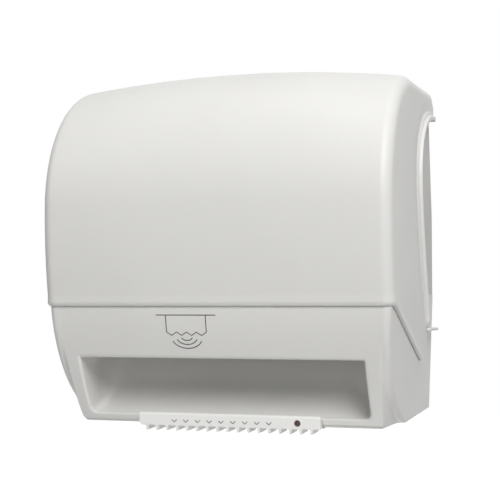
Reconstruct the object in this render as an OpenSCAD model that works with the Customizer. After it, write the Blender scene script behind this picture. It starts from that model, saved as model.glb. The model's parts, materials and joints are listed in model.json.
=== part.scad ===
// Touch-free roll towel dispenser for a wall.
// The wall is the plane y = 0, the front faces -y and the origin is on the wall, at mid height.
// Lengths are in millimetres. Names that end in _drop are depths below the origin.

/* [Cover] */
// Width across the cover's flat sides
cover_w = 344; // [336:1:360]
// Depth from the wall to the fullest point of the cover
cover_d = 252; // [246:1:262]
// Height of the cover's crown above the origin
cover_top = 180; // [176:1:190]
// Fall of the crown from the middle to the sides
crown_drop = 12; // [6:1:18]
// Drop of the top's sides at the wall, where the top is flatter
crown_rear = 6; // [4:1:12]
// Height of the fullest point of the front above the origin
bulge_z = 40; // [30:1:50]
// Depth of the rounded brow between the front and the top
brow_d = 122; // [110:1:130]
// Setback of the cover's front at the seam
seam_setback = 10; // [6:1:14]
// Depth of the seam below the origin
seam_drop = 58; // [54:1:62]
// Radius of the cover's upright front edges
edge_r = 11; // [8:0.5:14]
// Wall of the cover
cover_wall = 2.6; // [2:0.1:3.2]
// Space between the wall and the cover's rear edge
cover_rear = 8; // [6:0.5:10]
// Gap between the inside of the cover and the housing
cover_gap = 1.2; // [0.8:0.1:2]

/* [Finger grips] */
// Height of the upper end of the crescent above the origin
grip_top = 139; // [132:1:144]
// Depth of the lower end of the crescent below the origin
grip_drop = 79; // [74:1:82]
// Depth of the crescent from the wall at its waist
grip_depth = 103; // [92:1:108]
// Height of the crescent's waist above the origin
grip_waist = 75; // [65:1:85]
// Depth of the crescent's tail from the wall
grip_tail = 56; // [50:1:60]
// Distance of the tabs' ends from the wall
tab_rear = 12; // [10:0.5:16]
// How far the lip stands out from the side
grip_h = 4; // [3:0.5:6]
// Thickness of the lip
grip_t = 3; // [2.4:0.1:3.6]

/* [Hinge] */
// Distance of the hinge axis from the wall
pivot_d = 86; // [82:1:90]
// Depth of the hinge axis below the origin
pivot_drop = 93; // [90:1:96]
// Diameter of the moulded trunnions
trunnion_d = 12; // [10:0.5:14]
// Length of a trunnion inside the cover
trunnion_l = 11; // [10:0.5:14]
// Radial running clearance of the trunnions
trunnion_clear = 0.1; // [0.05:0.01:0.1]
// Distance of the side lobe's tip from the wall
apex_d = 91; // [88:1:96]
// Depth of the side lobe's tip below the origin
apex_drop = 110; // [108:1:114]

/* [Lower housing] */
// Wall of the housing
housing_wall = 3; // [2.4:0.1:3.6]
// Height of the rim that the cover laps over
rim_rise = 12; // [8:1:16]
// Depth of the belly below the origin
belly_drop = 170; // [164:1:170]
// Depth of the bottom's rear edge below the origin
rear_drop = 166.5; // [162:0.5:167]
// Front to back length of the belly's curve
belly_d = 110; // [100:1:120]
// Narrowing of each side from the rim to the bottom
side_taper = 5; // [3:0.5:6]
// Radius along the belly's side edges
belly_r = 7; // [5:0.5:7]
// Width of the nose at its top
nose_w = 310; // [304:1:311]
// Width of the nose at its bottom
nose_low_w = 302; // [298:1:303]
// Setback of the nose's bottom edge behind the cover's fullest point
nose_d = 61; // [57:1:65]
// Depth of the nose's bottom below the origin
nose_drop = 171; // [170:0.5:173]
// How strongly the nose's front curves back
nose_curve = 1.7; // [1.4:0.1:2]
// Width of the blend between the nose and the belly
nose_blend = 4.5; // [3.5:0.5:4.5]
// Radius of the nose's bottom edge
nose_r = 3; // [2:0.5:4]

/* [Throat] */
// Width of the throat
throat_w = 283; // [270:1:288]
// Depth of the throat's top edge below the origin
throat_drop = 106; // [104:0.5:108]
// Depth of the throat's lip below the origin
lip_drop = 162; // [160:0.5:163]
// Radius of the cove at the back of the throat
cove_r = 38; // [32:1:42]
// Setback of the cove's axis behind the cover's fullest point
cove_d = 54; // [50:1:58]
// Wall of the scoop behind the throat
scoop_wall = 2.5; // [2:0.1:3]
// Setback of the towel slot behind the cover's fullest point
slot_d = 60; // [58:1:62]
// Width of the towel slot, front to back
slot_t = 9; // [7:0.5:11]

/* [Tear bar] */
// Length of the tear bar
bar_w = 183; // [178:1:192]
// Shift of the bar to the right of the middle
bar_x = 2.5; // [0:0.5:4]
// Thickness of the tear bar at the lip
bar_t = 4.5; // [3.5:0.5:6]
// Height of the bar's face
bar_h = 12.5; // [11:0.5:14]
// Rise of the bar's top above the lip
bar_rise = 2; // [1:0.5:3]
// Depth of the bar's foot under the nose, from its face
bar_deep = 24; // [18:1:28]
// Gap between the bar and the nose
bar_gap = 0.4; // [0.3:0.1:0.6]
// Number of teeth
tooth_n = 17; // [11:1:19]
// Height of a tooth
tooth_h = 5; // [4:0.5:7]
// Distance between the first and the last tip
tooth_span = 166; // [158:0.5:172]
// Diameter of the sensor lens
lens_d = 4.6; // [4:0.1:5.4]
// Place of the sensor lens, right of the middle
lens_x = 72; // [68:1:78]
// Wall of the sensor's bezel
bezel_wall = 0.9; // [0.7:0.1:1.2]

/* [Back plate] */
// Thickness of the wall plate
plate_t = 4; // [3:0.5:5]
// Spacing of the wall screws across
screw_dx = 160; // [140:1:180]
// Spacing of the wall screws up and down
screw_dz = 150; // [130:1:170]
// Height of the middle of the wall screws above the origin
screw_mid = 35; // [30:1:40]
// Diameter of the wall screw holes
screw_hole_d = 6; // [5:0.5:7]
// Height of the ribs on the plate
rib_h = 7; // [5:0.5:9]
// Depth of the top shelf
shelf_d = 44; // [42:1:48]
// Drop of the shelf below the cover's crown
shelf_fall = 30; // [28:1:33]

/* [Roll holder] */
// Width of the towel roll
roll_w = 203; // [198:1:206]
// Distance of the roll's axis from the wall
roll_d = 118; // [114:1:122]
// Height of the roll's axis above the origin
roll_z = 62; // [58:1:66]
// Diameter of the hub's plug in the core
plug_d = 37; // [34:0.5:39]
// Length of the hub's plug
plug_l = 18; // [14:0.5:22]
// Diameter of the hub's flange
flange_d = 54; // [48:1:60]
// Thickness of the hub's flange
flange_t = 3; // [2.5:0.5:4]
// Thickness of the roll arms
arm_t = 4; // [3:0.5:5]
// Height of an arm at its root
arm_root = 56; // [48:1:62]
// Diameter of the spindle on an arm
spindle_d = 12; // [10:0.5:14]
// Diameter of the arm's pivot pin
arm_pin_d = 5; // [4:0.5:6]
// Distance of the arm's pivot from the wall plate
arm_pivot = 14; // [13:0.5:16]
// Wire of the arm's spring
wire_d = 1.2; // [1:0.1:1.4]
// Turns of the arm's spring
coil_n = 5; // [3:1:6]

/* [Feed rollers] */
// Diameter of the drive roller's rubber sleeves
drive_d = 28; // [24:1:29]
// Diameter of the pinch rollers
pinch_d = 18; // [16:1:19]
// Gap for the towel between the rollers
nip_gap = 0.4; // [0.3:0.1:0.6]
// Number of sleeves along the roller
sleeve_n = 4; // [3:1:5]
// Length of a sleeve
sleeve_l = 32; // [24:1:36]
// Diameter of the drive shaft
shaft_d = 8; // [7:0.5:9]
// Diameter of the pinch shaft
pinch_shaft_d = 6; // [5:0.5:7]
// Space between the roll's end and the roller frame
frame_margin = 12; // [10:0.5:14]
// Wall of the roller frame
frame_t = 3; // [2.5:0.5:4]
// Space between the drive roller and the scoop
drive_clear = 5.5; // [4.5:0.5:7]

/* [Gears and motor] */
// Gear module
gear_m = 1; // [0.9:0.05:1.05]
// Teeth of the drive gear
drive_z_n = 28; // [26:2:28]
// Teeth of the idler gear
idler_n = 24; // [22:2:26]
// Teeth of the motor pinion
pinion_n = 14; // [14:1:16]
// Face width of the gears
gear_w = 8; // [6:0.5:9]
// Play between meshing teeth
backlash = 0.3; // [0.2:0.05:0.4]
// Diameter of the gear motor
motor_d = 30; // [26:1:32]
// Length of the gear motor
motor_l = 54; // [46:1:60]

/* [Battery box] */
// Diameter of a cell
cell_d = 34.2; // [33.2:0.1:34.6]
// Length of a cell
cell_l = 61.5; // [59.5:0.1:62]
// Number of cells in the row
cell_n = 4; // [3:1:4]
// Wall of the battery tray
tray_wall = 2; // [1.6:0.1:2.4]
// Room for a contact at each end of the row
contact_room = 5; // [4:0.5:6]

/* [Controls] */
// Place of the control box, left of the middle
box_x = 75; // [62:1:85]
// Width of the control box
box_w = 30; // [28:1:32]
// Length of the control box, front to back
box_l = 58; // [54:1:62]
// Height of the control box
box_h = 34; // [30:1:36]
// Wall of the control box
box_wall = 2; // [1.6:0.1:2.4]
// Diameter of the feed button
button_d = 11; // [9:0.5:12]
// Travel of the feed button
button_travel = 1.5; // [1:0.1:2]
// Travel of the towel-length switch
switch_travel = 6; // [4:0.5:8]

/* [Lock] */
// Distance of the lock from the wall
lock_d = 28; // [27:0.5:30]
// Diameter of the lock's sleeve
sleeve_d = 16; // [15:0.5:18]
// Length of the lock's sleeve
sleeve_h = 18; // [16:0.5:20]
// Diameter of the lock's plug
lock_plug_d = 10; // [9:0.5:11]
// Reach of the cam from the lock's axis
cam_l = 22; // [20:0.5:24]
// Width of the cam
cam_w = 9; // [8:0.5:10]

/* [Hidden] */
$fn = 64;

// Steps of the lofted shells
edge_n = 4;
brow_n = 14;
front_n = 5;
nose_n = 9;
corner_n = 3;
bottom_n = 4;
curve_n = 12;
// Share of the belly's quarter turn that lies behind the nose's front
belly_split = 58;
// Small overlap that lets a cut pass a face
past = 1;
// Fit of parts that don't move on each other
fit = 0.05;
// Fit of parts that run on each other
run = 0.08;
// Gap beside parts that pass each other
side_gap = 0.4;

// Cover and housing
half_w = cover_w / 2;
seam_z = -seam_drop;
rim_z = seam_z + rim_rise;
housing_half = half_w - cover_wall - cover_gap;
housing_front = -(cover_d - seam_setback) + cover_wall + cover_gap;
inner_half = housing_half - housing_wall;
low_half = inner_half - side_taper;
belly_lift = 1;
belly_z = seam_z + belly_lift;
belly_y = housing_front + belly_d;
nose_y = nose_d - cover_d;
pivot = [-pivot_d, -pivot_drop];

// Throat
cove_y = cove_d - cover_d;
slot_y = slot_d - cover_d;
slot_margin = 5;
ceiling_z = -throat_drop + scoop_wall;
scoop_rear = cove_y + cove_r + scoop_wall;

// Back plate
wing_gap = 0.4;
wing_t = 3;
wing_bend = grip_waist - 35;
wing_lean = 0.025;
wing_lap = 12;
wing_half = housing_half - wing_gap;
wing_d = grip_depth + wing_lap;
wing_top = grip_top + wing_lap;
wing_top_half = wing_half - wing_lean * (wing_top - wing_bend);
shelf_z = cover_top - shelf_fall;
shelf_half = wing_half - wing_lean * (shelf_z - wing_bend) - wing_t / 2;

// Screws: the housing's, and the smaller ones of the arms, frame and motor
screw_d = 3.6;
head_d = 7;
head_h = 2.4;
small_screw_d = 3;
small_head_d = 6;
screw_short = 0.6;

// Roll holder
hub_gap = 0.8;
arm_in = roll_w / 2 + hub_gap + flange_t + side_gap;
arm_out = arm_in + arm_t;
arm_mid = arm_in + arm_t / 2;
arm_pivot_y = -plate_t - arm_pivot;
foot_w = 22;
foot_t = 4;
foot_screw_z = 18;
foot_screw_x = 7;
bracket_t = 3;
bracket_screw_x = 14;

// Feed rollers and their frame
frame_half = roll_w / 2 + frame_margin;
frame_out = frame_half + frame_t;
drive_y = slot_y + drive_d / 2 + nip_gap / 2;
drive_z = ceiling_z + drive_clear + drive_d / 2;
pinch_y = slot_y - pinch_d / 2 - nip_gap / 2;
sleeve_pitch = (roll_w - sleeve_l) / (sleeve_n - 1);
bush_wall = 2.5;
bush_flange = 1.2;
bush_d = shaft_d + 2 * bush_wall;
beam_t = 4;
beam_clear = 1.5;
rear_beam_y = drive_y + drive_d / 2 + beam_clear;
cheek_rear = rear_beam_y + beam_t;
boss_h = 8;
boss_reach = 5;
frame_boss_d = 8;

// Gear train: the directions in which the idler and the pinion lie
mesh_drive = 10;
mesh_pinion = -20;
gear_gap = 0.8;
gear_x = frame_out + bush_flange + gear_gap;
gear_end = gear_x + gear_w;
idler_at = [drive_y, drive_z] + (drive_z_n + idler_n) / 2 * gear_m * [cos(mesh_drive), sin(mesh_drive)];
pinion_at = idler_at + (idler_n + pinion_n) / 2 * gear_m * [cos(mesh_pinion), sin(mesh_pinion)];
idler_pin_d = 6;
motor_shaft_d = 3;
motor_nose_d = 10;

// Battery box
cell_room = 1;
tray_rise = 4;
row_l = cell_n * cell_l + 2 * contact_room;
tray_half = row_l / 2 + tray_wall;
tray_y = -plate_t - 2 * tray_wall - cell_d - cell_room;
tray_z = -rear_drop + housing_wall + tray_rise;
tray_top = tray_z + tray_wall + cell_d + cell_room;

// Control box, on the rear wall of the scoop
box_seat = 16;
box_left = -box_x - box_w / 2;
box_front = max(scoop_rear, cheek_rear + side_gap);
box_low = -throat_drop - box_seat;
lid_z = box_low + box_h;
lid_t = 2;
board_fall = 9;
board_t = 1.6;
board_z = lid_z - board_fall;
board_top = board_z + board_t;
button_y = box_front + 16;
switch_y = box_front + 40;

// Lock
lock_z = cover_top;
cam_fall = 3.4;
cam_t = 3;
cam_z = lock_z - sleeve_h - cam_fall;

function smooth(t) = t * t * (3 - 2 * t);
function clamp(t) = min(1, max(0, t));
function reversed(list) = [for (i = [len(list) - 1:-1:0]) list[i]];
function unit(v) = v / norm(v);
function bezier(p) = [for (i = [0:curve_n]) let (t = i / curve_n, s = 1 - t)
    s * s * s * p[0] + 3 * s * s * t * p[1] + 3 * s * t * t * p[2] + t * t * t * p[3]];
// Round corner at b, on the way from a to c
function corner(a, b, c, r) = [for (i = [0:corner_n])
    let (t = i / corner_n, p = b + unit(a - b) * r, q = b + unit(c - b) * r)
    (1 - t) * (1 - t) * p + 2 * t * (1 - t) * b + t * t * q];

// Carries an outline drawn in (y, z) along x
module along_x(x0, x1) {
    translate([x0, 0, 0]) rotate([90, 0, 90]) linear_extrude(height = x1 - x0) children();
}

module rod_x(x0, x1, d) {
    translate([x0, 0, 0]) rotate([0, 90, 0]) cylinder(h = x1 - x0, d = d);
}

module at(p) {
    translate([0, p[0], p[1]]) children();
}

module both_sides() {
    children();
    mirror([1, 0, 0]) children();
}

// Closed skin over rows of points that all have the same count
module loft(rows) {
    n = len(rows[0]);
    m = len(rows);
    skin = [for (i = [0:m - 2]) for (j = [0:n - 1])
        let (a = i * n + j, b = i * n + (j + 1) % n) each [[a, a + n, b], [b, a + n, b + n]]];
    polyhedron(points = [for (r = rows) each r],
        faces = concat(skin, [[for (j = [0:n - 1]) j]], [[for (j = [n - 1:-1:0]) (m - 1) * n + j]]));
}

// Cover sections: x place and edge setback of each, from left to right
function cover_stations(half, r) = concat(
    [for (i = [edge_n:-1:1]) let (a = 90 * i / edge_n) [-half + r - r * sin(a), r - r * cos(a)]],
    [for (i = [-4:4]) [(half - r) * i / 4, 0]],
    [for (i = [1:edge_n]) let (a = 90 * i / edge_n) [half - r + r * sin(a), r - r * cos(a)]]);

function cover_front(z) = -cover_d + seam_setback * pow((bulge_z - z) / (bulge_z - seam_z), 2);

function cover_row(x, inset, rear, low) =
    let (top = cover_top - crown_drop * pow(x / half_w, 2) - inset,
        rear_top = cover_top - crown_rear * pow(x / half_w, 2) - inset)
    concat([[x, rear, low], [x, rear, rear_top]],
        [for (i = [0:brow_n]) let (a = 90 - 90 * i / brow_n)
            [x, brow_d - cover_d - (brow_d - inset) * cos(a), bulge_z + (top - bulge_z) * sin(a)]],
        [for (i = [1:front_n]) let (z = bulge_z - (bulge_z - low) * i / front_n)
            [x, cover_front(z) + inset, z]]);

module cover_form(wall, rear, low) {
    loft([for (s = cover_stations(half_w - wall, edge_r - wall)) cover_row(s[0], s[1] + wall, rear, low)]);
}

// Pulls of the crescent's two curves, and the lower tab's bend
upper_pull = [33, 37];
waist_flat = 3;
lower_pull = 37;
tail_pull = [16, 42];
tail_rise = 7;
tab_bend = 7;

// Rear edge of the side: from the upper tab round the crescent to the lower tab
tail_end = [-grip_tail, tail_rise - grip_drop];
grip_curve = concat(
    bezier([[-tab_rear, grip_top], [upper_pull[0] - grip_depth, grip_top],
        [-grip_depth, grip_waist + upper_pull[1]], [-grip_depth, grip_waist]]),
    bezier([[-grip_depth, grip_waist - waist_flat], [-grip_depth, grip_waist - waist_flat - lower_pull],
        tail_end + [-tail_pull[0], tail_pull[1]], tail_end]),
    corner(tail_end, [-grip_tail + tab_bend / 3, -grip_drop], [-tab_rear, -grip_drop], tail_rise),
    [[-tab_rear, -grip_drop]]);

function grip_outer() = [for (i = [0:len(grip_curve) - 1])
    let (a = grip_curve[max(0, i - 1)], b = grip_curve[min(len(grip_curve) - 1, i + 1)], t = unit(b - a))
    grip_curve[i] + grip_t * [t[1], -t[0]]];

tab_root = [-grip_tail + tab_bend, -grip_drop - grip_t];
apex = [-apex_d, -apex_drop];
apex_r = 6;
seam_front = [-cover_d - past, seam_z];

module cover_outline() {
    polygon(concat([[past, cover_top + past], [past, grip_top]], grip_curve,
        [[-tab_rear, -grip_drop - grip_t], tab_root],
        corner(tab_root, apex, [-cover_d + seam_setback, seam_z], apex_r),
        [[-cover_d + seam_setback + edge_r, seam_z], seam_front, [-cover_d - past, cover_top + past]]));
}

module front_cover() color("whitesmoke") {
    difference() {
        intersection() {
            difference() {
                cover_form(0, -cover_rear, -apex_drop - past);
                cover_form(cover_wall, past, -apex_drop - 2 * past);
            }
            along_x(-half_w - past, half_w + past) cover_outline();
        }
        translate([0, -lock_d, lock_z - 4 * cover_wall]) cylinder(h = 8 * cover_wall, d = sleeve_d + 2 * fit);
    }
    both_sides() {
        along_x(half_w - cover_wall / 2, half_w + grip_h) polygon(concat(grip_curve, reversed(grip_outer())));
        at(pivot) rod_x(half_w - cover_wall - trunnion_l, half_w - cover_wall / 2, trunnion_d);
    }
}

// Half width of the housing's side at a height, inside a wall
function side_half(z, wall) = housing_half - wall - side_taper * (rim_z - z) / (rim_z + belly_drop);

function nose_half(z, wall) = nose_w / 2 - wall
    - (nose_w - nose_low_w) / 2 * clamp((seam_z - z) / (seam_z + nose_drop));

// Front and bottom of the nose, from the rim's foot to the belly's lowest point
function nose_path(wall) =
    let (f = housing_front + wall, b = wall - nose_drop, y = wall + nose_y, end = b + nose_r)
    concat([for (i = [0:nose_n]) let (z = belly_z - (belly_z - end) * i / nose_n)
            [f + (y - f) * pow((belly_z - z) / (belly_z - b), nose_curve), z]],
        [[y + 0.1 * nose_r, b + 0.45 * nose_r], [y + 0.45 * nose_r, b + 0.1 * nose_r], [y + nose_r, b]],
        [for (i = [1:bottom_n]) let (t = i / bottom_n)
            (1 - t) * [y + nose_r, b] + t * [belly_y, wall - belly_drop]]);

// Front and bottom of the belly, with as many points
function belly_path(inset) =
    let (tail_n = corner_n + bottom_n)
    [for (i = [0:nose_n + tail_n])
        let (a = i <= nose_n ? belly_split * i / nose_n
                : belly_split + (90 - belly_split) * (i - nose_n) / tail_n)
        [belly_y - (belly_d - inset) * cos(a), belly_z - (belly_drop + belly_z - inset) * sin(a)]];

// A station is [side, reach of the nose or undef, place in the blend or turn of the edge]
housing_stations = concat(
    [for (i = [edge_n:-1:0]) [-1, undef, 90 * i / edge_n]],
    [for (i = [edge_n:-1:0]) [-1, 1, i / edge_n]],
    [for (f = [-0.9, -0.45, 0, 0.45, 0.9]) [sign(f), abs(f), 0]],
    [for (i = [0:edge_n]) [1, 1, i / edge_n]],
    [for (i = [0:edge_n]) [1, undef, 90 * i / edge_n]]);

function station_x(s, z, wall) = s[0] * (s[1] == undef
    ? side_half(z, wall) - (belly_r - wall) * (1 - sin(s[2]))
    : s[1] * nose_half(z, wall) + s[2] * nose_blend);

function housing_row(s, wall, rear, rim) =
    let (inset = s[1] == undef ? (belly_r - wall) * (1 - cos(s[2])) : 0,
        share = s[1] == undef ? 0 : smooth(1 - s[2]),
        nose = nose_path(wall),
        belly = belly_path(wall + inset),
        path = concat([[rear, rim], [housing_front + wall + inset, rim]],
            [for (i = [0:len(nose) - 1]) share * nose[i] + (1 - share) * belly[i]],
            [[rear, wall + inset - rear_drop]]))
    [for (p = path) [station_x(s, p[1], wall), p[0], p[1]]];

module housing_form(wall, rear, rim) {
    loft([for (s = housing_stations) housing_row(s, wall, rear, rim)]);
}

// Space of the throat, or its scoop when grown by a wall
module throat_form(wall) {
    along_x(-throat_w / 2 - wall, throat_w / 2 + wall) {
        translate([-cover_d, -lip_drop - wall]) square([cove_d, lip_drop - throat_drop + 2 * wall]);
        intersection() {
            translate([cove_y, cove_r - lip_drop]) circle(r = cove_r + wall);
            translate([cove_y, -lip_drop - wall]) square(cove_r + wall);
        }
        translate([cove_y, cove_r - lip_drop])
            square([cove_r + wall, lip_drop - throat_drop - cove_r + wall]);
    }
}

collar_t = 4;
collar_wall = 5;
collar_d = trunnion_d + 2 * collar_wall;
housing_tab = [16, 4, 30];
tab_fall = 44;
tab_screw = [9, 8];
housing_tab_z = rim_z - tab_fall;
housing_screw_x = inner_half - tab_screw[0];
housing_screw_z = [housing_tab_z + tab_screw[1], housing_tab_z + housing_tab[2] - tab_screw[1]];

// Bosses that carry the roller frame, on the scoop's ceiling
boss_setback = 6;
frame_boss_x = frame_out + boss_reach;
frame_boss_front = pinch_y - boss_setback;
frame_boss_rear = rear_beam_y;
frame_bosses = [[-frame_boss_x, frame_boss_front], [-frame_boss_x, frame_boss_rear],
    [frame_boss_x, frame_boss_front]];

module lower_housing() color("gainsboro") {
    difference() {
        union() {
            difference() {
                housing_form(0, 0, rim_z);
                difference() {
                    housing_form(housing_wall, past, rim_z + past);
                    throat_form(scoop_wall);
                }
            }
            both_sides() {
                at(pivot) rod_x(side_half(-pivot_drop, housing_wall) - collar_t,
                    side_half(-pivot_drop, housing_wall) + housing_wall / 2, collar_d);
                translate([inner_half - housing_tab[0], -plate_t - housing_tab[1], housing_tab_z])
                    cube(housing_tab);
            }
            for (b = frame_bosses)
                translate([b[0], b[1], ceiling_z - scoop_wall / 2])
                    cylinder(h = boss_h + scoop_wall / 2, d = frame_boss_d);
        }
        throat_form(0);
        translate([-roll_w / 2 - slot_margin, slot_y - slot_t / 2, -throat_drop - past])
            cube([roll_w + 2 * slot_margin, slot_t, scoop_wall + 2 * past]);
        both_sides() {
            at(pivot) rod_x(inner_half - 4 * collar_t, half_w, trunnion_d + 2 * trunnion_clear);
            for (z = housing_screw_z)
                translate([housing_screw_x, -plate_t + past, z]) rotate([90, 0, 0])
                    cylinder(h = housing_tab[1] + 2 * past, d = screw_d + 2 * fit);
        }
        for (b = frame_bosses)
            translate([b[0], b[1], ceiling_z]) cylinder(h = boss_h + past, d = small_screw_d + 2 * fit);
    }
}

// Screw along a direction turned from +z: head at the origin's upper side, shank below
module screw(shank_d, shank_l, cap_d, cap_h) {
    difference() {
        union() {
            cylinder(h = cap_h, d = cap_d);
            translate([0, 0, -shank_l]) cylinder(h = shank_l + cap_h / 2, d = shank_d);
        }
        for (a = [0, 90])
            rotate(a) translate([-cap_d / 3, -cap_d / 16, cap_h * 0.55])
                cube([cap_d / 1.5, cap_d / 8, cap_h]);
    }
}

module housing_screws() color("silver") {
    both_sides() for (z = housing_screw_z)
        translate([housing_screw_x, -plate_t - housing_tab[1], z]) rotate([90, 0, 0])
            screw(screw_d, housing_tab[1] + plate_t - screw_short, head_d, head_h);
}

// Front line of the nose where the bar lies against it
function nose_front(z) = housing_front
    + (nose_y - housing_front) * pow((belly_z - z) / (belly_z + nose_drop), nose_curve);

bar_back_top = [nose_front(-lip_drop) - bar_gap, -lip_drop];
bar_back_low = [nose_y - bar_gap, -nose_drop];
bar_face_y = bar_back_top[0] - bar_t;
bar_top = bar_rise - lip_drop;
bar_low_z = bar_top - bar_h;
bar_r = 2;
tooth_pitch = tooth_span / (tooth_n - 1);
bar_rear_y = bar_face_y + bar_deep;
foot_top_z = -nose_drop - bar_gap - 0.2;
tooth_sink = 0.5;
ridge_half = 2;
ridge_end = 0.8;
tip_back = 0.3;
lens_z = bar_top - 0.55 * bar_h;
lens_l = 3.4;
bezel_d = lens_d + 2 * bezel_wall;

module bar_outline() {
    rear_top = [bar_back_top[0], bar_top];
    polygon(concat([bar_back_low, bar_back_top, rear_top],
        corner(rear_top, [bar_face_y, bar_top], [bar_face_y, bar_low_z], bar_r),
        [[bar_face_y, bar_low_z], [bar_rear_y, bar_low_z], [bar_rear_y, foot_top_z],
            [bar_back_low[0] + bar_gap, foot_top_z]]));
}

// One tooth: a ridge under the foot, tallest at its front end
module tooth() {
    top = bar_low_z + tooth_sink;
    tip = bar_low_z - tooth_h;
    end_y = bar_rear_y - tip_back;
    polyhedron(points = [[-ridge_half, bar_face_y, top], [ridge_half, bar_face_y, top],
            [0, bar_face_y + tip_back, tip], [-ridge_half, end_y, top], [ridge_half, end_y, top],
            [0, end_y, bar_low_z - ridge_end * tooth_h]],
        faces = [[0, 1, 2], [3, 4, 1, 0], [1, 4, 2], [4, 5, 2], [3, 0, 2], [3, 2, 5], [4, 3, 5]]);
}

module tear_bar() color("white") {
    difference() {
        union() {
            along_x(bar_x - bar_w / 2, bar_x + bar_w / 2) bar_outline();
            for (i = [0:tooth_n - 1]) translate([bar_x - tooth_span / 2 + i * tooth_pitch, 0, 0]) tooth();
        }
        translate([lens_x, bar_face_y - past, lens_z]) rotate([-90, 0, 0])
            cylinder(h = lens_l + past, d = bezel_d + 2 * fit);
    }
}

module sensor_bezel() color("dimgray") {
    translate([lens_x, bar_face_y, lens_z]) rotate([-90, 0, 0]) difference() {
        cylinder(h = lens_l - fit, d = bezel_d);
        translate([0, 0, -past]) cylinder(h = lens_l - 0.8 + past, d = lens_d + 2 * fit);
    }
}

module sensor_lens() color("firebrick") {
    translate([lens_x, bar_face_y + 0.3, lens_z]) rotate([-90, 0, 0]) {
        cylinder(h = lens_l - 1.2, d = lens_d);
    }
}

plate_low_z = -rear_drop + housing_wall + 0.8;
plate_low_half = low_half - 0.6;
plate_split = rim_z + 2;
plate_ribs = [-60, -20, 20, 60];

// Wing behind a grip, upright to its bend and leaning inwards above it
module wing() {
    along_x(wing_half - wing_t, wing_half)
        polygon([[0, plate_split], [-wing_d, plate_split], [-wing_d, wing_bend], [0, wing_bend]]);
    multmatrix([[1, 0, -wing_lean, wing_lean * wing_bend], [0, 1, 0, 0], [0, 0, 1, 0]])
        along_x(wing_half - wing_t, wing_half)
            polygon([[0, wing_bend], [-wing_d, wing_bend], [-wing_d, grip_waist + 15],
                [-0.86 * wing_d, grip_top - 14], [-0.55 * wing_d, wing_top], [0, wing_top]]);
}

module back_plate() color("lightgray") {
    difference() {
        union() {
            rotate([90, 0, 0]) linear_extrude(height = plate_t) polygon([
                [-wing_half, plate_split], [wing_half, plate_split], [wing_half, wing_bend],
                [wing_top_half, wing_top], [-wing_top_half, wing_top], [-wing_half, wing_bend]]);
            rotate([90, 0, 0]) linear_extrude(height = plate_t) polygon(concat(
                [[-plate_low_half, plate_split + past]],
                corner([-plate_low_half, 0], [-plate_low_half, plate_low_z], [0, plate_low_z], belly_r),
                corner([0, plate_low_z], [plate_low_half, plate_low_z], [plate_low_half, 0], belly_r),
                [[plate_low_half, plate_split + past]]));
            both_sides() wing();
            translate([-shelf_half, -shelf_d, shelf_z - wing_t])
                cube([2 * shelf_half, shelf_d - plate_t / 2, wing_t]);
            for (x = plate_ribs)
                translate([x - 1, -plate_t - rib_h, plate_split + 4])
                    cube([2, rib_h + past, shelf_z - plate_split - 4 - wing_t / 2]);
        }
        for (x = [-1, 1], z = [-1, 1])
            translate([x * screw_dx / 2, past, screw_mid + z * screw_dz / 2]) rotate([90, 0, 0])
                cylinder(h = plate_t + 2 * past, d = screw_hole_d);
        both_sides() for (z = housing_screw_z)
            translate([housing_screw_x, past, z]) rotate([90, 0, 0])
                cylinder(h = plate_t + 2 * past, d = screw_d + 2 * fit);
        for (p = arm_screw_places)
            translate([p[0], past, p[1]]) rotate([90, 0, 0])
                cylinder(h = plate_t + 2 * past, d = small_screw_d + 2 * fit);
    }
}

// Feet of the arms on the wall plate, and the screws that hold them
foot_x = arm_out + foot_screw_x;
bracket_x = arm_mid;
arm_screw_places = [for (z = [-foot_screw_z, foot_screw_z])
    each [[-foot_x, roll_z + z], [bracket_x + bracket_screw_x, roll_z + z]]];

tip_wall = 8;

// Side view of an arm, with its two lightening holes
module arm_blade(root_y) {
    tip_r = spindle_d / 2 + tip_wall;
    difference() {
        union() {
            polygon([[root_y, roll_z - arm_root / 2], [root_y, roll_z + arm_root / 2],
                [-roll_d, roll_z + tip_r], [-roll_d, roll_z - tip_r]]);
            translate([-roll_d, roll_z]) circle(r = tip_r);
        }
        for (y = [0.36, 0.62])
            translate([root_y + y * (-roll_d - root_y), roll_z]) circle(r = tip_r * (1.05 - 0.55 * y));
    }
}

module spindle() {
    at([-roll_d, roll_z]) rod_x(arm_in - flange_t - plug_l + plug_end + side_gap, arm_mid, spindle_d);
}

module roll_arm_left() color("white") mirror([1, 0, 0]) {
    along_x(arm_in, arm_out) arm_blade(-plate_t);
    spindle();
    difference() {
        translate([arm_mid, -plate_t - foot_t, roll_z - arm_root / 2])
            cube([foot_w, foot_t, arm_root]);
        for (z = [-foot_screw_z, foot_screw_z])
            translate([foot_x, -plate_t + past, roll_z + z]) rotate([90, 0, 0])
                cylinder(h = foot_t + 2 * past, d = small_screw_d + 2 * fit);
    }
}

knuckle_wall = 3.5;
knuckle_d = arm_pin_d + 2 * knuckle_wall;
knuckle_h = 40;
knuckle_top = roll_z + knuckle_h / 2;
knuckle_low = roll_z - knuckle_h / 2;
ear_t = 5;
bracket_lap = 8;

// Torsion spring round the pin, between the knuckle and the upper ear
coil_clear = 1;
coil_gap = 0.6;
coil_r = arm_pin_d / 2 + coil_clear + wire_d / 2;
coil_pitch = wire_d + coil_gap;
coil_rings = 8;
coil_z = knuckle_top + side_gap + wire_d / 2;
coil_room = coil_n * coil_pitch + wire_d + 2 * side_gap;
leg_l = 16;
leg_x = arm_mid + coil_r;
leg_z = coil_z + coil_n * coil_pitch;
leg_end = -plate_t - bracket_t / 3;
ear_low = knuckle_low - side_gap - ear_t;
ear_high = knuckle_top + coil_room;
lug_l = 8;
lug_drop = 4;

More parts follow.
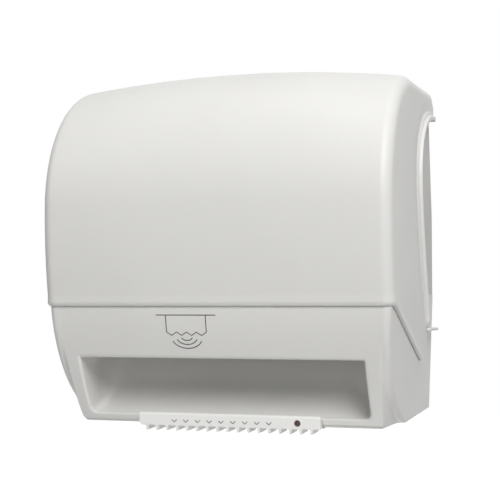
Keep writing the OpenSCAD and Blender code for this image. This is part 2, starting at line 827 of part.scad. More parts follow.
coil_path = concat([[leg_x, arm_pivot_y - leg_l, coil_z], [leg_x, arm_pivot_y - leg_l / 2, coil_z]],
    [for (i = [0:coil_n * coil_rings]) let (a = 360 * i / coil_rings)
        [arm_mid + coil_r * cos(a), arm_pivot_y + coil_r * sin(a), coil_z + coil_pitch * i / coil_rings]],
    [[leg_x, (arm_pivot_y + leg_end) / 2, leg_z], [leg_x, leg_end, leg_z]]);
coil_least = min([for (i = [0:len(coil_path) - 1]) for (j = [i + coil_rings / 2:len(coil_path) - 1])
    norm(coil_path[i] - coil_path[j])]) - wire_d;
echo(str("Least gap between the turns of the arm's spring: ", coil_least, " mm"));

// Round wire along a path that never stands upright
module wire(path, d) {
    sides = 6;
    n = len(path);
    loft([for (i = [n - 1:-1:0])
        let (t = unit(path[min(n - 1, i + 1)] - path[max(0, i - 1)]),
            u = unit(cross(t, [0, 0, 1])), v = cross(u, t))
        [for (k = [0:sides - 1]) path[i] + d / 2 * (cos(360 * k / sides) * u + sin(360 * k / sides) * v)]]);
}

module roll_arm_right() color("white") {
    difference() {
        union() {
            along_x(arm_in, arm_out) intersection() {
                arm_blade(arm_pivot_y);
                translate([-2 * roll_d, knuckle_low]) square([2 * roll_d, knuckle_h]);
            }
            translate([arm_mid, arm_pivot_y, knuckle_low]) cylinder(h = knuckle_h, d = knuckle_d);
            // Lug that the spring's leg leans on
            translate([arm_in, arm_pivot_y - leg_l, knuckle_top - lug_drop])
                cube([leg_x - wire_d / 2 - side_gap - arm_in, lug_l, lug_drop + side_gap + 2 * wire_d]);
            spindle();
        }
        translate([arm_mid, arm_pivot_y, knuckle_low - past])
            cylinder(h = knuckle_h + 2 * past, d = arm_pin_d + 2 * run);
    }
}

module arm_bracket() color("lightgray") {
    difference() {
        union() {
            translate([bracket_x - bracket_lap, -plate_t - bracket_t, ear_low])
                cube([bracket_lap + foot_w, bracket_t, ear_high + ear_t - ear_low]);
            for (z = [ear_low, ear_high]) {
                translate([bracket_x - knuckle_d / 2, arm_pivot_y, z])
                    cube([knuckle_d, arm_pivot - bracket_t / 2, ear_t]);
                translate([bracket_x, arm_pivot_y, z]) cylinder(h = ear_t, d = knuckle_d);
            }
        }
        translate([bracket_x, arm_pivot_y, ear_low - past])
            cylinder(h = ear_high + ear_t - ear_low + 2 * past, d = arm_pin_d + 2 * fit);
        translate([leg_x, -plate_t + past, leg_z]) rotate([90, 0, 0])
            cylinder(h = bracket_t + 2 * past, d = wire_d + side_gap);
        for (z = [-foot_screw_z, foot_screw_z])
            translate([bracket_x + bracket_screw_x, -plate_t + past, roll_z + z]) rotate([90, 0, 0])
                cylinder(h = bracket_t + 2 * past, d = small_screw_d + 2 * fit);
    }
}

pin_head = [1.5, 1.6];

module arm_pin() color("silver") translate([bracket_x, arm_pivot_y, 0]) {
    translate([0, 0, ear_low]) cylinder(h = ear_high + ear_t - ear_low + pin_head[1] / 2, d = arm_pin_d);
    translate([0, 0, ear_high + ear_t]) cylinder(h = pin_head[1], d = arm_pin_d + 2 * pin_head[0]);
}

module arm_spring() color("lightsteelblue") wire(coil_path, wire_d);

module arm_screws() color("silver") {
    for (p = arm_screw_places) {
        seat = p[0] < 0 ? foot_t : bracket_t;
        translate([p[0], -plate_t - seat, p[1]]) rotate([90, 0, 0])
            screw(small_screw_d, seat + plate_t - screw_short, small_head_d, head_h);
    }
}

plug_end = 2.2;
hub_edge = 1;
plug_step = 0.6;
plug_lead = 4;
hub_slot = [3, 6];

// Hub that carries one end of the towel core, at the right side
module hub() {
    bore_r = spindle_d / 2 + run;
    tip = flange_t + plug_l;
    difference() {
        translate([arm_in - side_gap, -roll_d, roll_z]) rotate([0, -90, 0]) rotate_extrude()
            polygon([[bore_r, 0], [flange_d / 2 - hub_edge, 0], [flange_d / 2, hub_edge],
                [flange_d / 2, flange_t],
                [plug_d / 2, flange_t + plug_step], [plug_d / 2 - hub_edge, tip - plug_lead],
                [plug_d / 2 - plug_lead, tip], [0, tip], [0, tip - plug_end], [bore_r, tip - plug_end]]);
        for (a = [0:90:270])
            at([-roll_d, roll_z]) rotate([a, 0, 0])
                translate([arm_in - tip - past, -hub_slot[0] / 2, plug_d / 2 - hub_slot[0]])
                    cube([plug_l - hub_slot[0] / 2, hub_slot[0], hub_slot[1]]);
    }
}

module hub_right() color("gray") hub();

module hub_left() color("gray") mirror([1, 0, 0]) hub();

spring_t = 0.8;
spring_w = 8;
spring_gap = 0.3;
front_beam_y = pinch_y - pinch_shaft_d / 2 - spring_t - spring_gap;
motor_margin = 4;
motor_rear = pinion_at[0] + motor_d / 2 + motor_margin;
frame_low = ceiling_z;
cheek_rise = 5;
cheek_r = [12, 8];
frame_high = drive_z + bush_d / 2 + cheek_rise;
rear_beam_fall = 10;
foot_pad_t = 2.5;
motor_screw_r = 10;

module frame_cheek(rear) {
    front = front_beam_y - beam_t;
    difference() {
        polygon(concat([[front, frame_low], [rear, frame_low]],
            corner([rear, frame_low], [rear, frame_high], [pinch_y, frame_high], cheek_r[1]),
            corner([rear, frame_high], [front, frame_high], [front, frame_low], cheek_r[0])));
        translate([drive_y, drive_z]) circle(d = bush_d + 2 * fit);
        translate([pinch_y, drive_z]) circle(d = pinch_shaft_d + 2 * run);
    }
}

module roller_frame() color("darkgray") {
    along_x(-frame_out, -frame_half) frame_cheek(cheek_rear);
    difference() {
        along_x(frame_half, frame_out) frame_cheek(motor_rear);
        at(idler_at) rod_x(frame_half - past, frame_out + past, idler_pin_d + 2 * fit);
        at(pinion_at) {
            rod_x(frame_half - past, frame_out + past, motor_nose_d + 2 * fit);
            for (z = [-motor_screw_r, motor_screw_r])
                translate([0, 0, z]) rod_x(frame_half - past, frame_out + past, small_screw_d + 2 * fit);
        }
    }
    translate([-frame_half - past, front_beam_y - beam_t, frame_low])
        cube([2 * (frame_half + past), beam_t, boss_h]);
    translate([-frame_half - past, rear_beam_y, frame_low])
        cube([2 * (frame_half + past), beam_t, frame_high - frame_low - rear_beam_fall]);
    difference() {
        for (b = frame_bosses) {
            pad_in = sign(b[0]) * (frame_half + frame_t / 2);
            pad_out = b[0] + sign(b[0]) * frame_boss_d / 2;
            translate([min(pad_in, pad_out), b[1] - frame_boss_d / 2, ceiling_z + boss_h])
                cube([abs(pad_out - pad_in), frame_boss_d, foot_pad_t]);
        }
        for (b = frame_bosses)
            translate([b[0], b[1], ceiling_z]) cylinder(h = 2 * boss_h, d = small_screw_d + 2 * fit);
    }
}

module frame_screws() color("silver") {
    for (b = frame_bosses)
        translate([b[0], b[1], ceiling_z + boss_h + foot_pad_t])
            screw(small_screw_d, foot_pad_t + boss_h - screw_short, small_head_d, head_h);
}

shaft_tail = [5, 1];
pinch_tail = [2, 0.9];

module drive_shaft() color("silver") at([drive_y, drive_z])
    rod_x(-frame_out - shaft_tail[0], gear_end + shaft_tail[1], shaft_d);

module sleeves(d, bore) {
    for (i = [0:sleeve_n - 1])
        difference() {
            x = -roll_w / 2 + i * sleeve_pitch;
            rod_x(x, x + sleeve_l, d);
            rod_x(x - past, x + sleeve_l + past, bore);
        }
}

module drive_sleeves() color("dimgray") at([drive_y, drive_z]) sleeves(drive_d, shaft_d + 2 * fit);

bush_rim = 2;

module shaft_bushes() color("goldenrod") at([drive_y, drive_z]) both_sides() difference() {
    union() {
        rod_x(frame_half, frame_out + bush_flange, bush_d);
        rod_x(frame_out, frame_out + bush_flange, bush_d + 2 * bush_rim);
    }
    rod_x(frame_half - past, gear_x, shaft_d + 2 * run);
}

module pinch_shaft() color("silver") at([pinch_y, drive_z])
    rod_x(-frame_out - pinch_tail[0], frame_out + pinch_tail[1], pinch_shaft_d);

module pinch_rollers() color("dimgray") at([pinch_y, drive_z]) sleeves(pinch_d, pinch_shaft_d + 2 * fit);

leaf_hook = [3, 5];
leaf_rise = 4;
leaf_foot = 0.5;

// Leaf springs that lean on the pinch shaft, on the front beam
module pinch_springs() color("lightsteelblue") both_sides()
    along_x(frame_half - past - spring_w, frame_half - past) {
        y = front_beam_y;
        bend = drive_z + leaf_rise;
        polygon([[y, frame_low + leaf_foot], [y + spring_t, frame_low + leaf_foot], [y + spring_t, bend],
            [y - leaf_hook[0], bend + leaf_hook[1]],
            [y - leaf_hook[0] - spring_t, bend + leaf_hook[1] - spring_t / 2],
            [y, bend - spring_t / 2]]);
    }

// Involute gear: outline in (y, z) with a tooth on its first axis
pressure = 25;
function involute(a) = tan(a) * 180 / PI - a;
function flank(n, r) = let (base = n * gear_m / 2 * cos(pressure))
    90 / n - backlash / (n * gear_m) * 90 / PI + involute(pressure)
    - (r > base ? involute(acos(base / r)) : 0);

flank_n = 4;

module gear_outline(n) {
    pitch_r = n * gear_m / 2;
    low = pitch_r - 1.1 * gear_m;
    top = pitch_r + 0.8 * gear_m;
    radii = concat([low], [for (i = [0:flank_n]) let (b = max(low + 0.1 * gear_m, pitch_r * cos(pressure)))
        b + (top - b) * i / flank_n]);
    polygon([for (k = [0:n - 1]) let (c = 360 * k / n) each concat(
        [for (r = radii) r * [cos(c - flank(n, r)), sin(c - flank(n, r))]],
        [for (r = reversed(radii)) r * [cos(c + flank(n, r)), sin(c + flank(n, r))]])]);
}

idler_turn = mesh_drive + 180 + 180 / idler_n + mesh_drive * drive_z_n / idler_n;
pinion_turn = mesh_pinion + 180 + 180 / pinion_n - (idler_turn - mesh_pinion) * idler_n / pinion_n;

module gear(n, turn, bore) {
    difference() {
        along_x(gear_x, gear_end) rotate(turn) gear_outline(n);
        rod_x(gear_x - past, gear_end + past, bore);
    }
}

module drive_gear() color("ivory") at([drive_y, drive_z]) gear(drive_z_n, 0, shaft_d + 2 * fit);

module idler_gear() color("ivory") at(idler_at) gear(idler_n, idler_turn, idler_pin_d + 2 * run);

module idler_pin() color("silver") at(idler_at) {
    rod_x(frame_half, gear_end + side_gap, idler_pin_d);
    rod_x(gear_end + side_gap, gear_end + side_gap + pin_head[1], idler_pin_d + 2 * pin_head[0]);
}

motor_bore = 7;
motor_cap = 3;
motor_screw_l = 5;
motor_head = [5.4, 1.2];

module motor_pinion() color("goldenrod") at(pinion_at) {
    gear(pinion_n, pinion_turn, motor_shaft_d - 2 * run);
    rod_x(frame_half - motor_bore + past, gear_end + screw_short, motor_shaft_d);
}

module gear_motor() color("dimgray") at(pinion_at) difference() {
    union() {
        rod_x(frame_half - motor_l, frame_half, motor_d);
        rod_x(frame_half - past, frame_out - side_gap, motor_nose_d);
        rod_x(frame_half - motor_l - motor_cap, frame_half - motor_l + past, motor_nose_d);
    }
    rod_x(frame_half - motor_bore, frame_half + 2 * frame_t, motor_shaft_d + 2 * run);
    for (z = [-motor_screw_r, motor_screw_r])
        translate([0, 0, z]) rod_x(frame_half - motor_bore, frame_half + past, small_screw_d + 2 * fit);
}

module motor_screws() color("silver") at(pinion_at) for (z = [-motor_screw_r, motor_screw_r])
    translate([frame_out, 0, z]) rotate([0, 90, 0])
        screw(small_screw_d, frame_t + motor_screw_l, motor_head[0], motor_head[1]);

case_wall = 1.6;
case_clear = 1;
case_end = 3;

// Round room for each gear; the last also takes the motor's screws

module case_outline(grow) {
    spots = [[drive_y, drive_z, (drive_z_n + 2) * gear_m], [idler_at[0], idler_at[1], (idler_n + 2) * gear_m],
        [pinion_at[0], pinion_at[1], 2 * motor_screw_r + motor_head[0]]];
    for (s = spots)
        translate([s[0], s[1]]) circle(d = s[2] + 2 * grow);
}

module gear_cover() color("darkgray") {
    deep = gear_end + case_end;
    difference() {
        along_x(frame_out, deep + case_wall) case_outline(case_clear + case_wall);
        along_x(frame_out - past, deep) case_outline(case_clear);
    }
}

lid_screw_d = 1.1;
lid_screw_l = 6;
lid_screw_x = [-0.8 * tray_half, 0.8 * tray_half];
lid_grip = [36, 3, 6];
lid_grip_y = 8;
cell_y = tray_y + tray_wall + (cell_room + cell_d) / 2;
cell_z = tray_z + tray_wall + (cell_room + cell_d) / 2;
nub = [9.5, 1.5];
cell_gap = 0.05;
contact_t = 0.8;
contact_plate = [24, 28];
contact_dome = [8, 16];

module battery_tray() color("dimgray") difference() {
    translate([-tray_half, tray_y, tray_z])
        cube([2 * tray_half, -plate_t - tray_y, tray_top - tray_z]);
    translate([-tray_half + tray_wall, tray_y + tray_wall, tray_z + tray_wall])
        cube([2 * (tray_half - tray_wall), -plate_t - tray_y - 2 * tray_wall, tray_top - tray_z]);
    for (x = lid_screw_x)
        translate([x, tray_y + tray_wall / 2, tray_top - lid_screw_l - past])
            cylinder(h = lid_screw_l + 2 * past, d = lid_screw_d + 2 * fit);
}

module battery_cells() color("darkorange") at([cell_y, cell_z]) for (i = [0:cell_n - 1]) {
    x = -cell_n * cell_l / 2 + i * cell_l;
    rod_x(x, x + cell_l - nub[1], cell_d);
    rod_x(x + cell_l - 2 * nub[1], x + cell_l - cell_gap, nub[0]);
}

// Contact plates at both ends of the row, each with its pressed dome
module battery_contacts() color("silver") both_sides() {
    inside = row_l / 2;
    translate([inside - contact_t, cell_y - contact_plate[0] / 2, cell_z - contact_plate[1] / 2])
        cube([contact_t, contact_plate[0], contact_plate[1]]);
    at([cell_y, cell_z]) translate([inside - contact_room + cell_gap, 0, 0]) rotate([0, 90, 0])
        cylinder(h = contact_room - contact_t, d1 = contact_dome[0], d2 = contact_dome[1]);
}

module battery_lid() color("darkgray") {
    difference() {
        union() {
            translate([-tray_half, tray_y, tray_top]) cube([2 * tray_half, -plate_t - tray_y, lid_t]);
            translate([-lid_grip[0] / 2, tray_y + lid_grip_y, tray_top + lid_t / 2]) cube(lid_grip);
        }
        for (x = lid_screw_x)
            translate([x, tray_y + tray_wall / 2, tray_top - past])
                cylinder(h = lid_t + 2 * past, d = lid_screw_d + 2 * fit);
    }
}

lid_head = [3, 1.2];

module lid_screws() color("silver") for (x = lid_screw_x)
    translate([x, tray_y + tray_wall / 2, tray_top + lid_t])
        screw(lid_screw_d, lid_t + lid_screw_l, lid_head[0], lid_head[1]);

// Block of the control box's outline, inset by a wall
module box_block(wall, z0, z1) {
    translate([box_left + wall, box_front + wall, z0]) cube([box_w - 2 * wall, box_l - 2 * wall, z1 - z0]);
}

post_w = 3;
touch_switch = [6, 6, 1.4];
slide_body = [8, 12, 2.4];
connector = [18, 4, 2.2];

module control_box() color("darkgray") {
    difference() {
        box_block(0, box_low, lid_z);
        box_block(box_wall, box_low + box_wall, lid_z + past);
    }
    for (x = [box_left + box_wall, box_left + box_w - box_wall - post_w],
            y = [box_front + box_wall, box_front + box_l - box_wall - post_w])
        translate([x, y, box_low + box_wall / 2]) cube([post_w, post_w, board_z - box_low - box_wall / 2]);
}

// Block that stands on the board, centred at a place
module on_board(y, size) {
    translate([-box_x - size[0] / 2, y - size[1] / 2, board_top - board_t / 2])
        cube([size[0], size[1], size[2] + board_t / 2]);
}

module control_board() color("seagreen") {
    box_block(box_wall + side_gap, board_z, board_top);
    on_board(button_y, touch_switch);
    on_board(switch_y, slide_body);
    on_board((button_y + switch_y) / 2, connector);
}

switch_slot = [4, switch_travel + 5];
switch_stem = [3.2, 4];
switch_foot = [8, 6];
button_rim = 2;
button_rise = 2;

module control_lid() color("gray") difference() {
    box_block(0, lid_z, lid_z + lid_t);
    translate([-box_x, button_y, lid_z - past]) cylinder(h = lid_t + 2 * past, d = button_d + 2 * side_gap);
    translate([-box_x - switch_slot[0] / 2, switch_y - switch_slot[1] / 2, lid_z - past])
        cube([switch_slot[0], switch_slot[1], lid_t + 2 * past]);
}

module feed_button() color("forestgreen") translate([-box_x, button_y, 0]) {
    low = board_top + touch_switch[2] + button_travel + side_gap;
    translate([0, 0, low]) cylinder(h = lid_z + lid_t + button_rise - low, d = button_d);
    translate([0, 0, low]) cylinder(h = lid_z - side_gap - low, d = button_d + 2 * button_rim);
}

// Slides along y; at rest it is at the front end of its slot
module length_switch() color("black") translate([-box_x, switch_y - switch_travel / 2, 0]) {
    low = board_top + slide_body[2] + side_gap;
    translate([-switch_stem[0] / 2, -switch_stem[1] / 2, low])
        cube([switch_stem[0], switch_stem[1], lid_z + lid_t + button_rise - low]);
    translate([-switch_foot[0] / 2, -switch_foot[1] / 2, low])
        cube([switch_foot[0], switch_foot[1], lid_z - side_gap - low]);
}

nut_h = 4;
lock_rim = [3, 2];
plug_rise = 1.6;
plug_foot = 0.4;
keyway = [7.2, 1.4, 4];
lock_screw_l = 6;
lock_screw_bore = 8;
lock_head_h = 2;

module lock_body() color("silver") translate([0, -lock_d, lock_z]) difference() {
    union() {
        translate([0, 0, -sleeve_h]) cylinder(h = sleeve_h + lock_rim[1] / 2, d = sleeve_d);
        cylinder(h = lock_rim[1], d = sleeve_d + 2 * lock_rim[0]);
    }
    translate([0, 0, -sleeve_h - past])
        cylinder(h = sleeve_h + lock_rim[1] + 2 * past, d = lock_plug_d + 2 * run);
}

nut_z = lock_z - cover_wall - nut_h - side_gap;

module lock_nut() color("silver") translate([0, -lock_d, nut_z]) difference() {
    cylinder(h = nut_h, d = sleeve_d + 2 * lock_rim[0], $fn = 6);
    translate([0, 0, -past]) cylinder(h = nut_h + 2 * past, d = sleeve_d + 2 * fit);
}

module lock_plug() color("gold") translate([0, -lock_d, 0]) difference() {
    translate([0, 0, cam_z - plug_foot])
        cylinder(h = lock_z + plug_rise - cam_z + plug_foot, d = lock_plug_d);
    translate([-keyway[0] / 2, -keyway[1] / 2, lock_z + plug_rise - keyway[2]])
        cube([keyway[0], keyway[1], 2 * keyway[2]]);
    translate([0, 0, cam_z - past]) cylinder(h = lock_screw_bore, d = small_screw_d + 2 * fit);
}

// Cam at rest points to the wall, clear of the catch
module lock_cam() color("silver") translate([0, -lock_d, cam_z]) difference() {
    union() {
        cylinder(h = cam_t, d = sleeve_d);
        translate([-cam_w / 2, 0, 0]) cube([cam_w, cam_l - cam_w / 2, cam_t]);
        translate([0, cam_l - cam_w / 2, 0]) cylinder(h = cam_t, d = cam_w);
    }
    translate([0, 0, -past]) cylinder(h = cam_t + 2 * past, d = lock_plug_d + 2 * fit);
}

module lock_screw() color("silver") translate([0, -lock_d, cam_z - plug_foot]) rotate([180, 0, 0])
    screw(small_screw_d, lock_screw_l, lock_plug_d + lock_rim[0], lock_head_h);

catch_gap = 0.6;
catch_x = sleeve_d / 2 + lock_rim[0] + past;
catch_size = [20, 3.4];
catch_foot = [14, 2.5];
catch_rise = 1.5;

// Tongue in front of the turned cam, on the plate's shelf
module lock_catch() color("lightgray") {
    translate([catch_x, -lock_d - cam_w / 2 - catch_gap - catch_size[1], shelf_z]) {
        cube([catch_size[0], catch_size[1], cam_z + cam_t + catch_rise - shelf_z]);
        cube([catch_size[0], catch_foot[0], catch_foot[1]]);
    }
}

front_cover();
lower_housing();
tear_bar();
sensor_lens();
sensor_bezel();
back_plate();
housing_screws();
roll_arm_left();
roll_arm_right();
arm_bracket();
arm_pin();
arm_spring();
arm_screws();
hub_left();
hub_right();
roller_frame();
frame_screws();
drive_shaft();
drive_sleeves();
shaft_bushes();
pinch_shaft();
pinch_rollers();
pinch_springs();
drive_gear();
idler_gear();
idler_pin();
motor_pinion();
gear_motor();
motor_screws();
gear_cover();
battery_tray();
battery_cells();
battery_contacts();
battery_lid();
lid_screws();
control_box();
control_lid();
control_board();
feed_button();
length_switch();
lock_body();
lock_nut();
lock_plug();
lock_cam();
lock_screw();
lock_catch();
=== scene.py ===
import json
import math

import bmesh
import bpy
import numpy as np
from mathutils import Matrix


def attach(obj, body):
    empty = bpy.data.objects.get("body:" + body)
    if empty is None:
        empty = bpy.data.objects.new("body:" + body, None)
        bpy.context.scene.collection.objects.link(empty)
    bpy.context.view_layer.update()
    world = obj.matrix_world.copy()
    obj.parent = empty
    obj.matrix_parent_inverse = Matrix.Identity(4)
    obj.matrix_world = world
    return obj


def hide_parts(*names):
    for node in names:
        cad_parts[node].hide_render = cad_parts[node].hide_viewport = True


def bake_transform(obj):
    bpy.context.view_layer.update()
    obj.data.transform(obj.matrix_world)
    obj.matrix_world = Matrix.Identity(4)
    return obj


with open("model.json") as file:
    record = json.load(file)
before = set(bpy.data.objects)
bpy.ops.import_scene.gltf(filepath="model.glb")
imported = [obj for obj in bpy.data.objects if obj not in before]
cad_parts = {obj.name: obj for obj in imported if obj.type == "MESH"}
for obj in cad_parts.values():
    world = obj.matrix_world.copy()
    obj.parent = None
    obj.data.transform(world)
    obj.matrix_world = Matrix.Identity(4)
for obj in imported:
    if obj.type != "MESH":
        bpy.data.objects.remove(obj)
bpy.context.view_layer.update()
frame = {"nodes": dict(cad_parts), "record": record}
print("frame:", len(frame["nodes"]), "nodes")

mm = 0.001
weldGap, sliver = 2e-6, 1e-6    # metres
axisPoint = 0.01                # radius that stands for a point on an axis


# Mesh making: all shapes below are worked out in millimetres

class Skin:
    # Collects grids and strips of points; build() welds them into one mesh

    def __init__(self):
        self.points = []
        self.faces = []
        self.count = 0

    def add(self, points):
        points = np.asarray(points, float)
        index = np.arange(self.count, self.count + points[..., 0].size).reshape(points.shape[:-1])
        self.points.append(points.reshape(-1, 3))
        self.count += index.size
        return index

    # Quads over a grid of indices, apart from the cells whose mask is set
    def grid(self, index, cut=None):
        quads = np.stack([index[:-1, :-1], index[1:, :-1], index[1:, 1:], index[:-1, 1:]], -1)
        self.faces += (quads.reshape(-1, 4) if cut is None else quads[~cut]).tolist()

    # Quads between two closed loops of the same length
    def strip(self, a, b):
        a, b = np.append(a, a[:1]), np.append(b, b[:1])
        self.faces += np.stack([a[:-1], a[1:], b[1:], b[:-1]], -1).tolist()

    def cap(self, loop):
        self.faces.append(list(map(int, loop)))

    # Rows of loops joined one after another, with both ends closed or both left open
    def tube(self, loops, ends=True):
        index = self.add(loops)
        self.grid(looped(index))
        if ends:
            self.cap(index[0])
            self.cap(index[-1])

    def build(self, name, finish, body, sharp=38):
        mesh = bpy.data.meshes.new(name)
        mesh.from_pydata((np.concatenate(self.points) * mm).tolist(), [], self.faces)
        work = bmesh.new()
        work.from_mesh(mesh)
        bmesh.ops.remove_doubles(work, verts=work.verts, dist=weldGap)
        bmesh.ops.dissolve_degenerate(work, edges=work.edges, dist=sliver)
        bmesh.ops.recalc_face_normals(work, faces=work.faces)
        work.to_mesh(mesh)
        work.free()
        mesh.polygons.foreach_set("use_smooth", np.ones(len(mesh.polygons), bool))
        mesh.set_sharp_from_angle(angle=math.radians(sharp))
        mesh.materials.append(finish)
        piece = bpy.data.objects.new(name, mesh)
        bpy.context.collection.objects.link(piece)
        if body:
            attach(piece, body)
        print("piece:", name, len(mesh.polygons), "faces")
        return piece


# Numbers and lists of numbers as one line of numbers
def joined(*runs):
    return np.concatenate([np.atleast_1d(np.asarray(r, float)) for r in runs])


# n even steps from a to b, without a itself
def between(a, b, n):
    return np.linspace(a, b, n + 1)[1:]


# Soft step from 0 to 1: three squares less two cubes
def smooth(t):
    t = np.clip(t, 0, 1)
    return t * t * (3 - 2 * t)


# The soft step, taken while v goes from the first value of a span to the second
def eased(v, span):
    return smooth((v - span[0]) / (span[1] - span[0]))


# Each vector over its own length
def unit(v):
    return v / np.linalg.norm(v, axis=-1, keepdims=True)


# Points moved straight to or from a centre, onto a circle about it
def circled(points, centre, r):
    return np.asarray(centre) + r * unit(points - np.asarray(centre))


# Distance along a line at each of its points
def runOf(line):
    return joined(0, np.cumsum(np.linalg.norm(np.diff(line, axis=0), axis=1)))


# Points of a plane line where a measure along it has the asked values
def traced(at, measure, line):
    return np.stack([np.interp(at, measure, line[:, k]) for k in (0, 1)], -1)


# A grid whose last column is its first once more
def looped(index):
    return np.concatenate([index, index[:, :1]], 1)


# Outline of a block of grid cells, as one loop of indices
def rim(index, r0, r1, c0, c1):
    return joined(index[r0, c0:c1], index[r0:r1, c1], index[r1, c1:c0:-1], index[r1:r0:-1, c0]).astype(int)


# Mask of that block among the grid's cells
def cells(shape, r0, r1, c0, c1):
    mask = np.zeros((shape[0] - 1, shape[1] - 1), bool)
    mask[r0:r1, c0:c1] = True
    return mask


# Rings about an axis: a section of (place on the axis, radius) turned round a centre in the other two axes
def turned(section, centre, axis=0, n=48):
    section = np.asarray(section, float)
    a = np.arange(n) * 2 * np.pi / n
    ring = [centre[0] + section[:, 1:] * np.cos(a), centre[1] + section[:, 1:] * np.sin(a)]
    ring.insert(axis, np.broadcast_to(section[:, :1], (len(section), n)))
    return np.stack(ring, -1)


# Section of a short tube: a square root, and a far end whose outer and inner edges are broken by small steps
def tubeSection(root, end, bore, outer, outerSteps, innerSteps):
    return np.concatenate([[(root, bore), (root, outer)], np.add((end, outer), outerSteps),
                           np.add((end, bore), innerSteps), [(root, bore)]])


# Box with round edges: a cube's faces, whose points stand a radius off the shrunken box
def softBox(skin, low, high, r, n=4):
    low, high = np.asarray(low, float), np.asarray(high, float)
    half = (high - low) / 2
    inner = half - r
    edge = np.tan(np.linspace(-np.pi / 4, 0, n + 1))[:-1]
    for axis in range(3):
        u, v = [k for k in range(3) if k != axis]
        lineU, lineV = (joined(edge * r - inner[k], [-inner[k], inner[k]], inner[k] - edge[::-1] * r) for k in (u, v))
        for side in (-1, 1):
            p = np.zeros((len(lineU), len(lineV), 3))
            p[..., axis] = side * half[axis]
            p[..., u] = lineU[:, None]
            p[..., v] = lineV[None, :]
            core = np.clip(p, -inner, inner)
            skin.grid(skin.add(core + r * unit(p - core) + (low + high) / 2))


# Materials

class Field:
    # One value of a material: sums and products of fields add Math nodes

    def __init__(self, tree, socket):
        self.tree, self.socket = tree, socket

    # Any node: settings first, then its sockets by name or number
    def node(self, kind, settings=None, out=0, **sockets):
        made = self.tree.nodes.new(kind)
        for key, value in (settings or {}).items():
            setattr(made, key, value)
        for key, value in sockets.items():
            socket = made.inputs[int(key[1:])] if key[1:].isdigit() else made.inputs[key.replace("_", " ")]
            if isinstance(value, Field):
                self.tree.links.new(value.socket, socket)
            else:
                socket.default_value = value
        return Field(self.tree, made.outputs[out])

    def maths(self, operation, a, b=0.0):
        return self.node("ShaderNodeMath", {"operation": operation}, _0=a, _1=b)

    def __add__(self, other): return self.maths("ADD", self, other)
    def __radd__(self, other): return self.maths("ADD", other, self)
    def __sub__(self, other): return self.maths("SUBTRACT", self, other)
    def __rsub__(self, other): return self.maths("SUBTRACT", other, self)
    def __mul__(self, other): return self.maths("MULTIPLY", self, other)
    def __rmul__(self, other): return self.maths("MULTIPLY", other, self)
    def __truediv__(self, other): return self.maths("DIVIDE", self, other)

    # Soft step from 0 to 1 between two values
    def rise(self, a, b):
        return self.node("ShaderNodeMapRange", {"interpolation_type": "SMOOTHSTEP", "clamp": True},
                         Value=self, From_Min=a, From_Max=b, To_Min=0.0, To_Max=1.0)


class Finish:
    # A material under way: its place on the piece, noise, and the shader at its end

    def __init__(self, name, **fixed):
        self.material = bpy.data.materials.new(name)
        self.material.use_nodes = True
        self.tree = self.material.node_tree
        self.shader = self.tree.nodes["Principled BSDF"]
        for key, value in fixed.items():
            self.shader.inputs[key.replace("_", " ")].default_value = value
        self.any = Field(self.tree, None)
        self.place = self.any.node("ShaderNodeTexCoord", out="Object")

    def noise(self, scale, detail=3.0, rough=0.55, at=None):
        return self.any.node("ShaderNodeTexNoise", {"noise_dimensions": "3D"}, Vector=at or self.place,
                             Scale=scale, Detail=detail, Roughness=rough)

    # The place stretched along the axes, for brushed and turned marks
    def stretched(self, x, y, z):
        return self.any.node("ShaderNodeMapping", {"vector_type": "POINT"}, Vector=self.place, Scale=(x, y, z))

    def axis(self, letter):
        return self.any.node("ShaderNodeSeparateXYZ", out=letter, Vector=self.place)

    def mix(self, factor, a, b):
        return self.any.node("ShaderNodeMix", {"data_type": "RGBA"}, out=2, _0=factor,
                             _6=a if isinstance(a, Field) else (*a, 1), _7=b if isinstance(b, Field) else (*b, 1))

    def bump(self, height, strength, distance):
        normal = self.any.node("ShaderNodeBump", Height=height, Strength=strength, Distance=distance)
        self.tree.links.new(normal.socket, self.shader.inputs["Normal"])

    def feed(self, **fields):
        for key, value in fields.items():
            self.tree.links.new(value.socket, self.shader.inputs[key.replace("_", " ")])
        return self.material


# Moulded plastic: faint clouds of tone, a fine spark-eroded grain, and dust that dulls the up-facing parts
def plastic(name, colour, shade, rough, grain=1100, depth=0.10, specular=0.5, coat=0.0):
    f = Finish(name, Specular_IOR_Level=specular, Coat_Weight=coat, Coat_Roughness=0.25)
    cloud = f.noise(9, 4).rise(0.3, 0.7)
    fine = f.noise(grain, 2)
    patch = f.noise(42, 5, 0.6)
    up = f.any.node("ShaderNodeSeparateXYZ", out="Z", Vector=f.any.node("ShaderNodeNewGeometry", out="Normal"))
    dust = up.rise(0.55, 1.0) * patch.rise(0.35, 0.75)
    tone = f.mix(cloud * 0.55 + dust * 0.25, colour, shade)
    f.bump(fine * 0.7 + patch * 0.3, depth, 0.00012)
    return f.feed(Base_Color=tone, Roughness=rough + cloud * 0.05 + dust * 0.08 + fine * 0.04)


# Metal: marks drawn out along one axis, and dull spots
def metal(name, colour, shade, rough, along=(60, 60, 60), depth=0.12):
    f = Finish(name, Metallic=1.0)
    drawn = f.noise(14, 4, 0.6, f.stretched(*along))
    dull = f.noise(130, 4).rise(0.45, 0.8)
    f.bump(drawn, depth, 0.0001)
    tone = f.mix(drawn * 0.7 + dull * 0.3, colour, shade)
    return f.feed(Base_Color=tone, Roughness=rough + drawn * 0.16 + dull * 0.14)


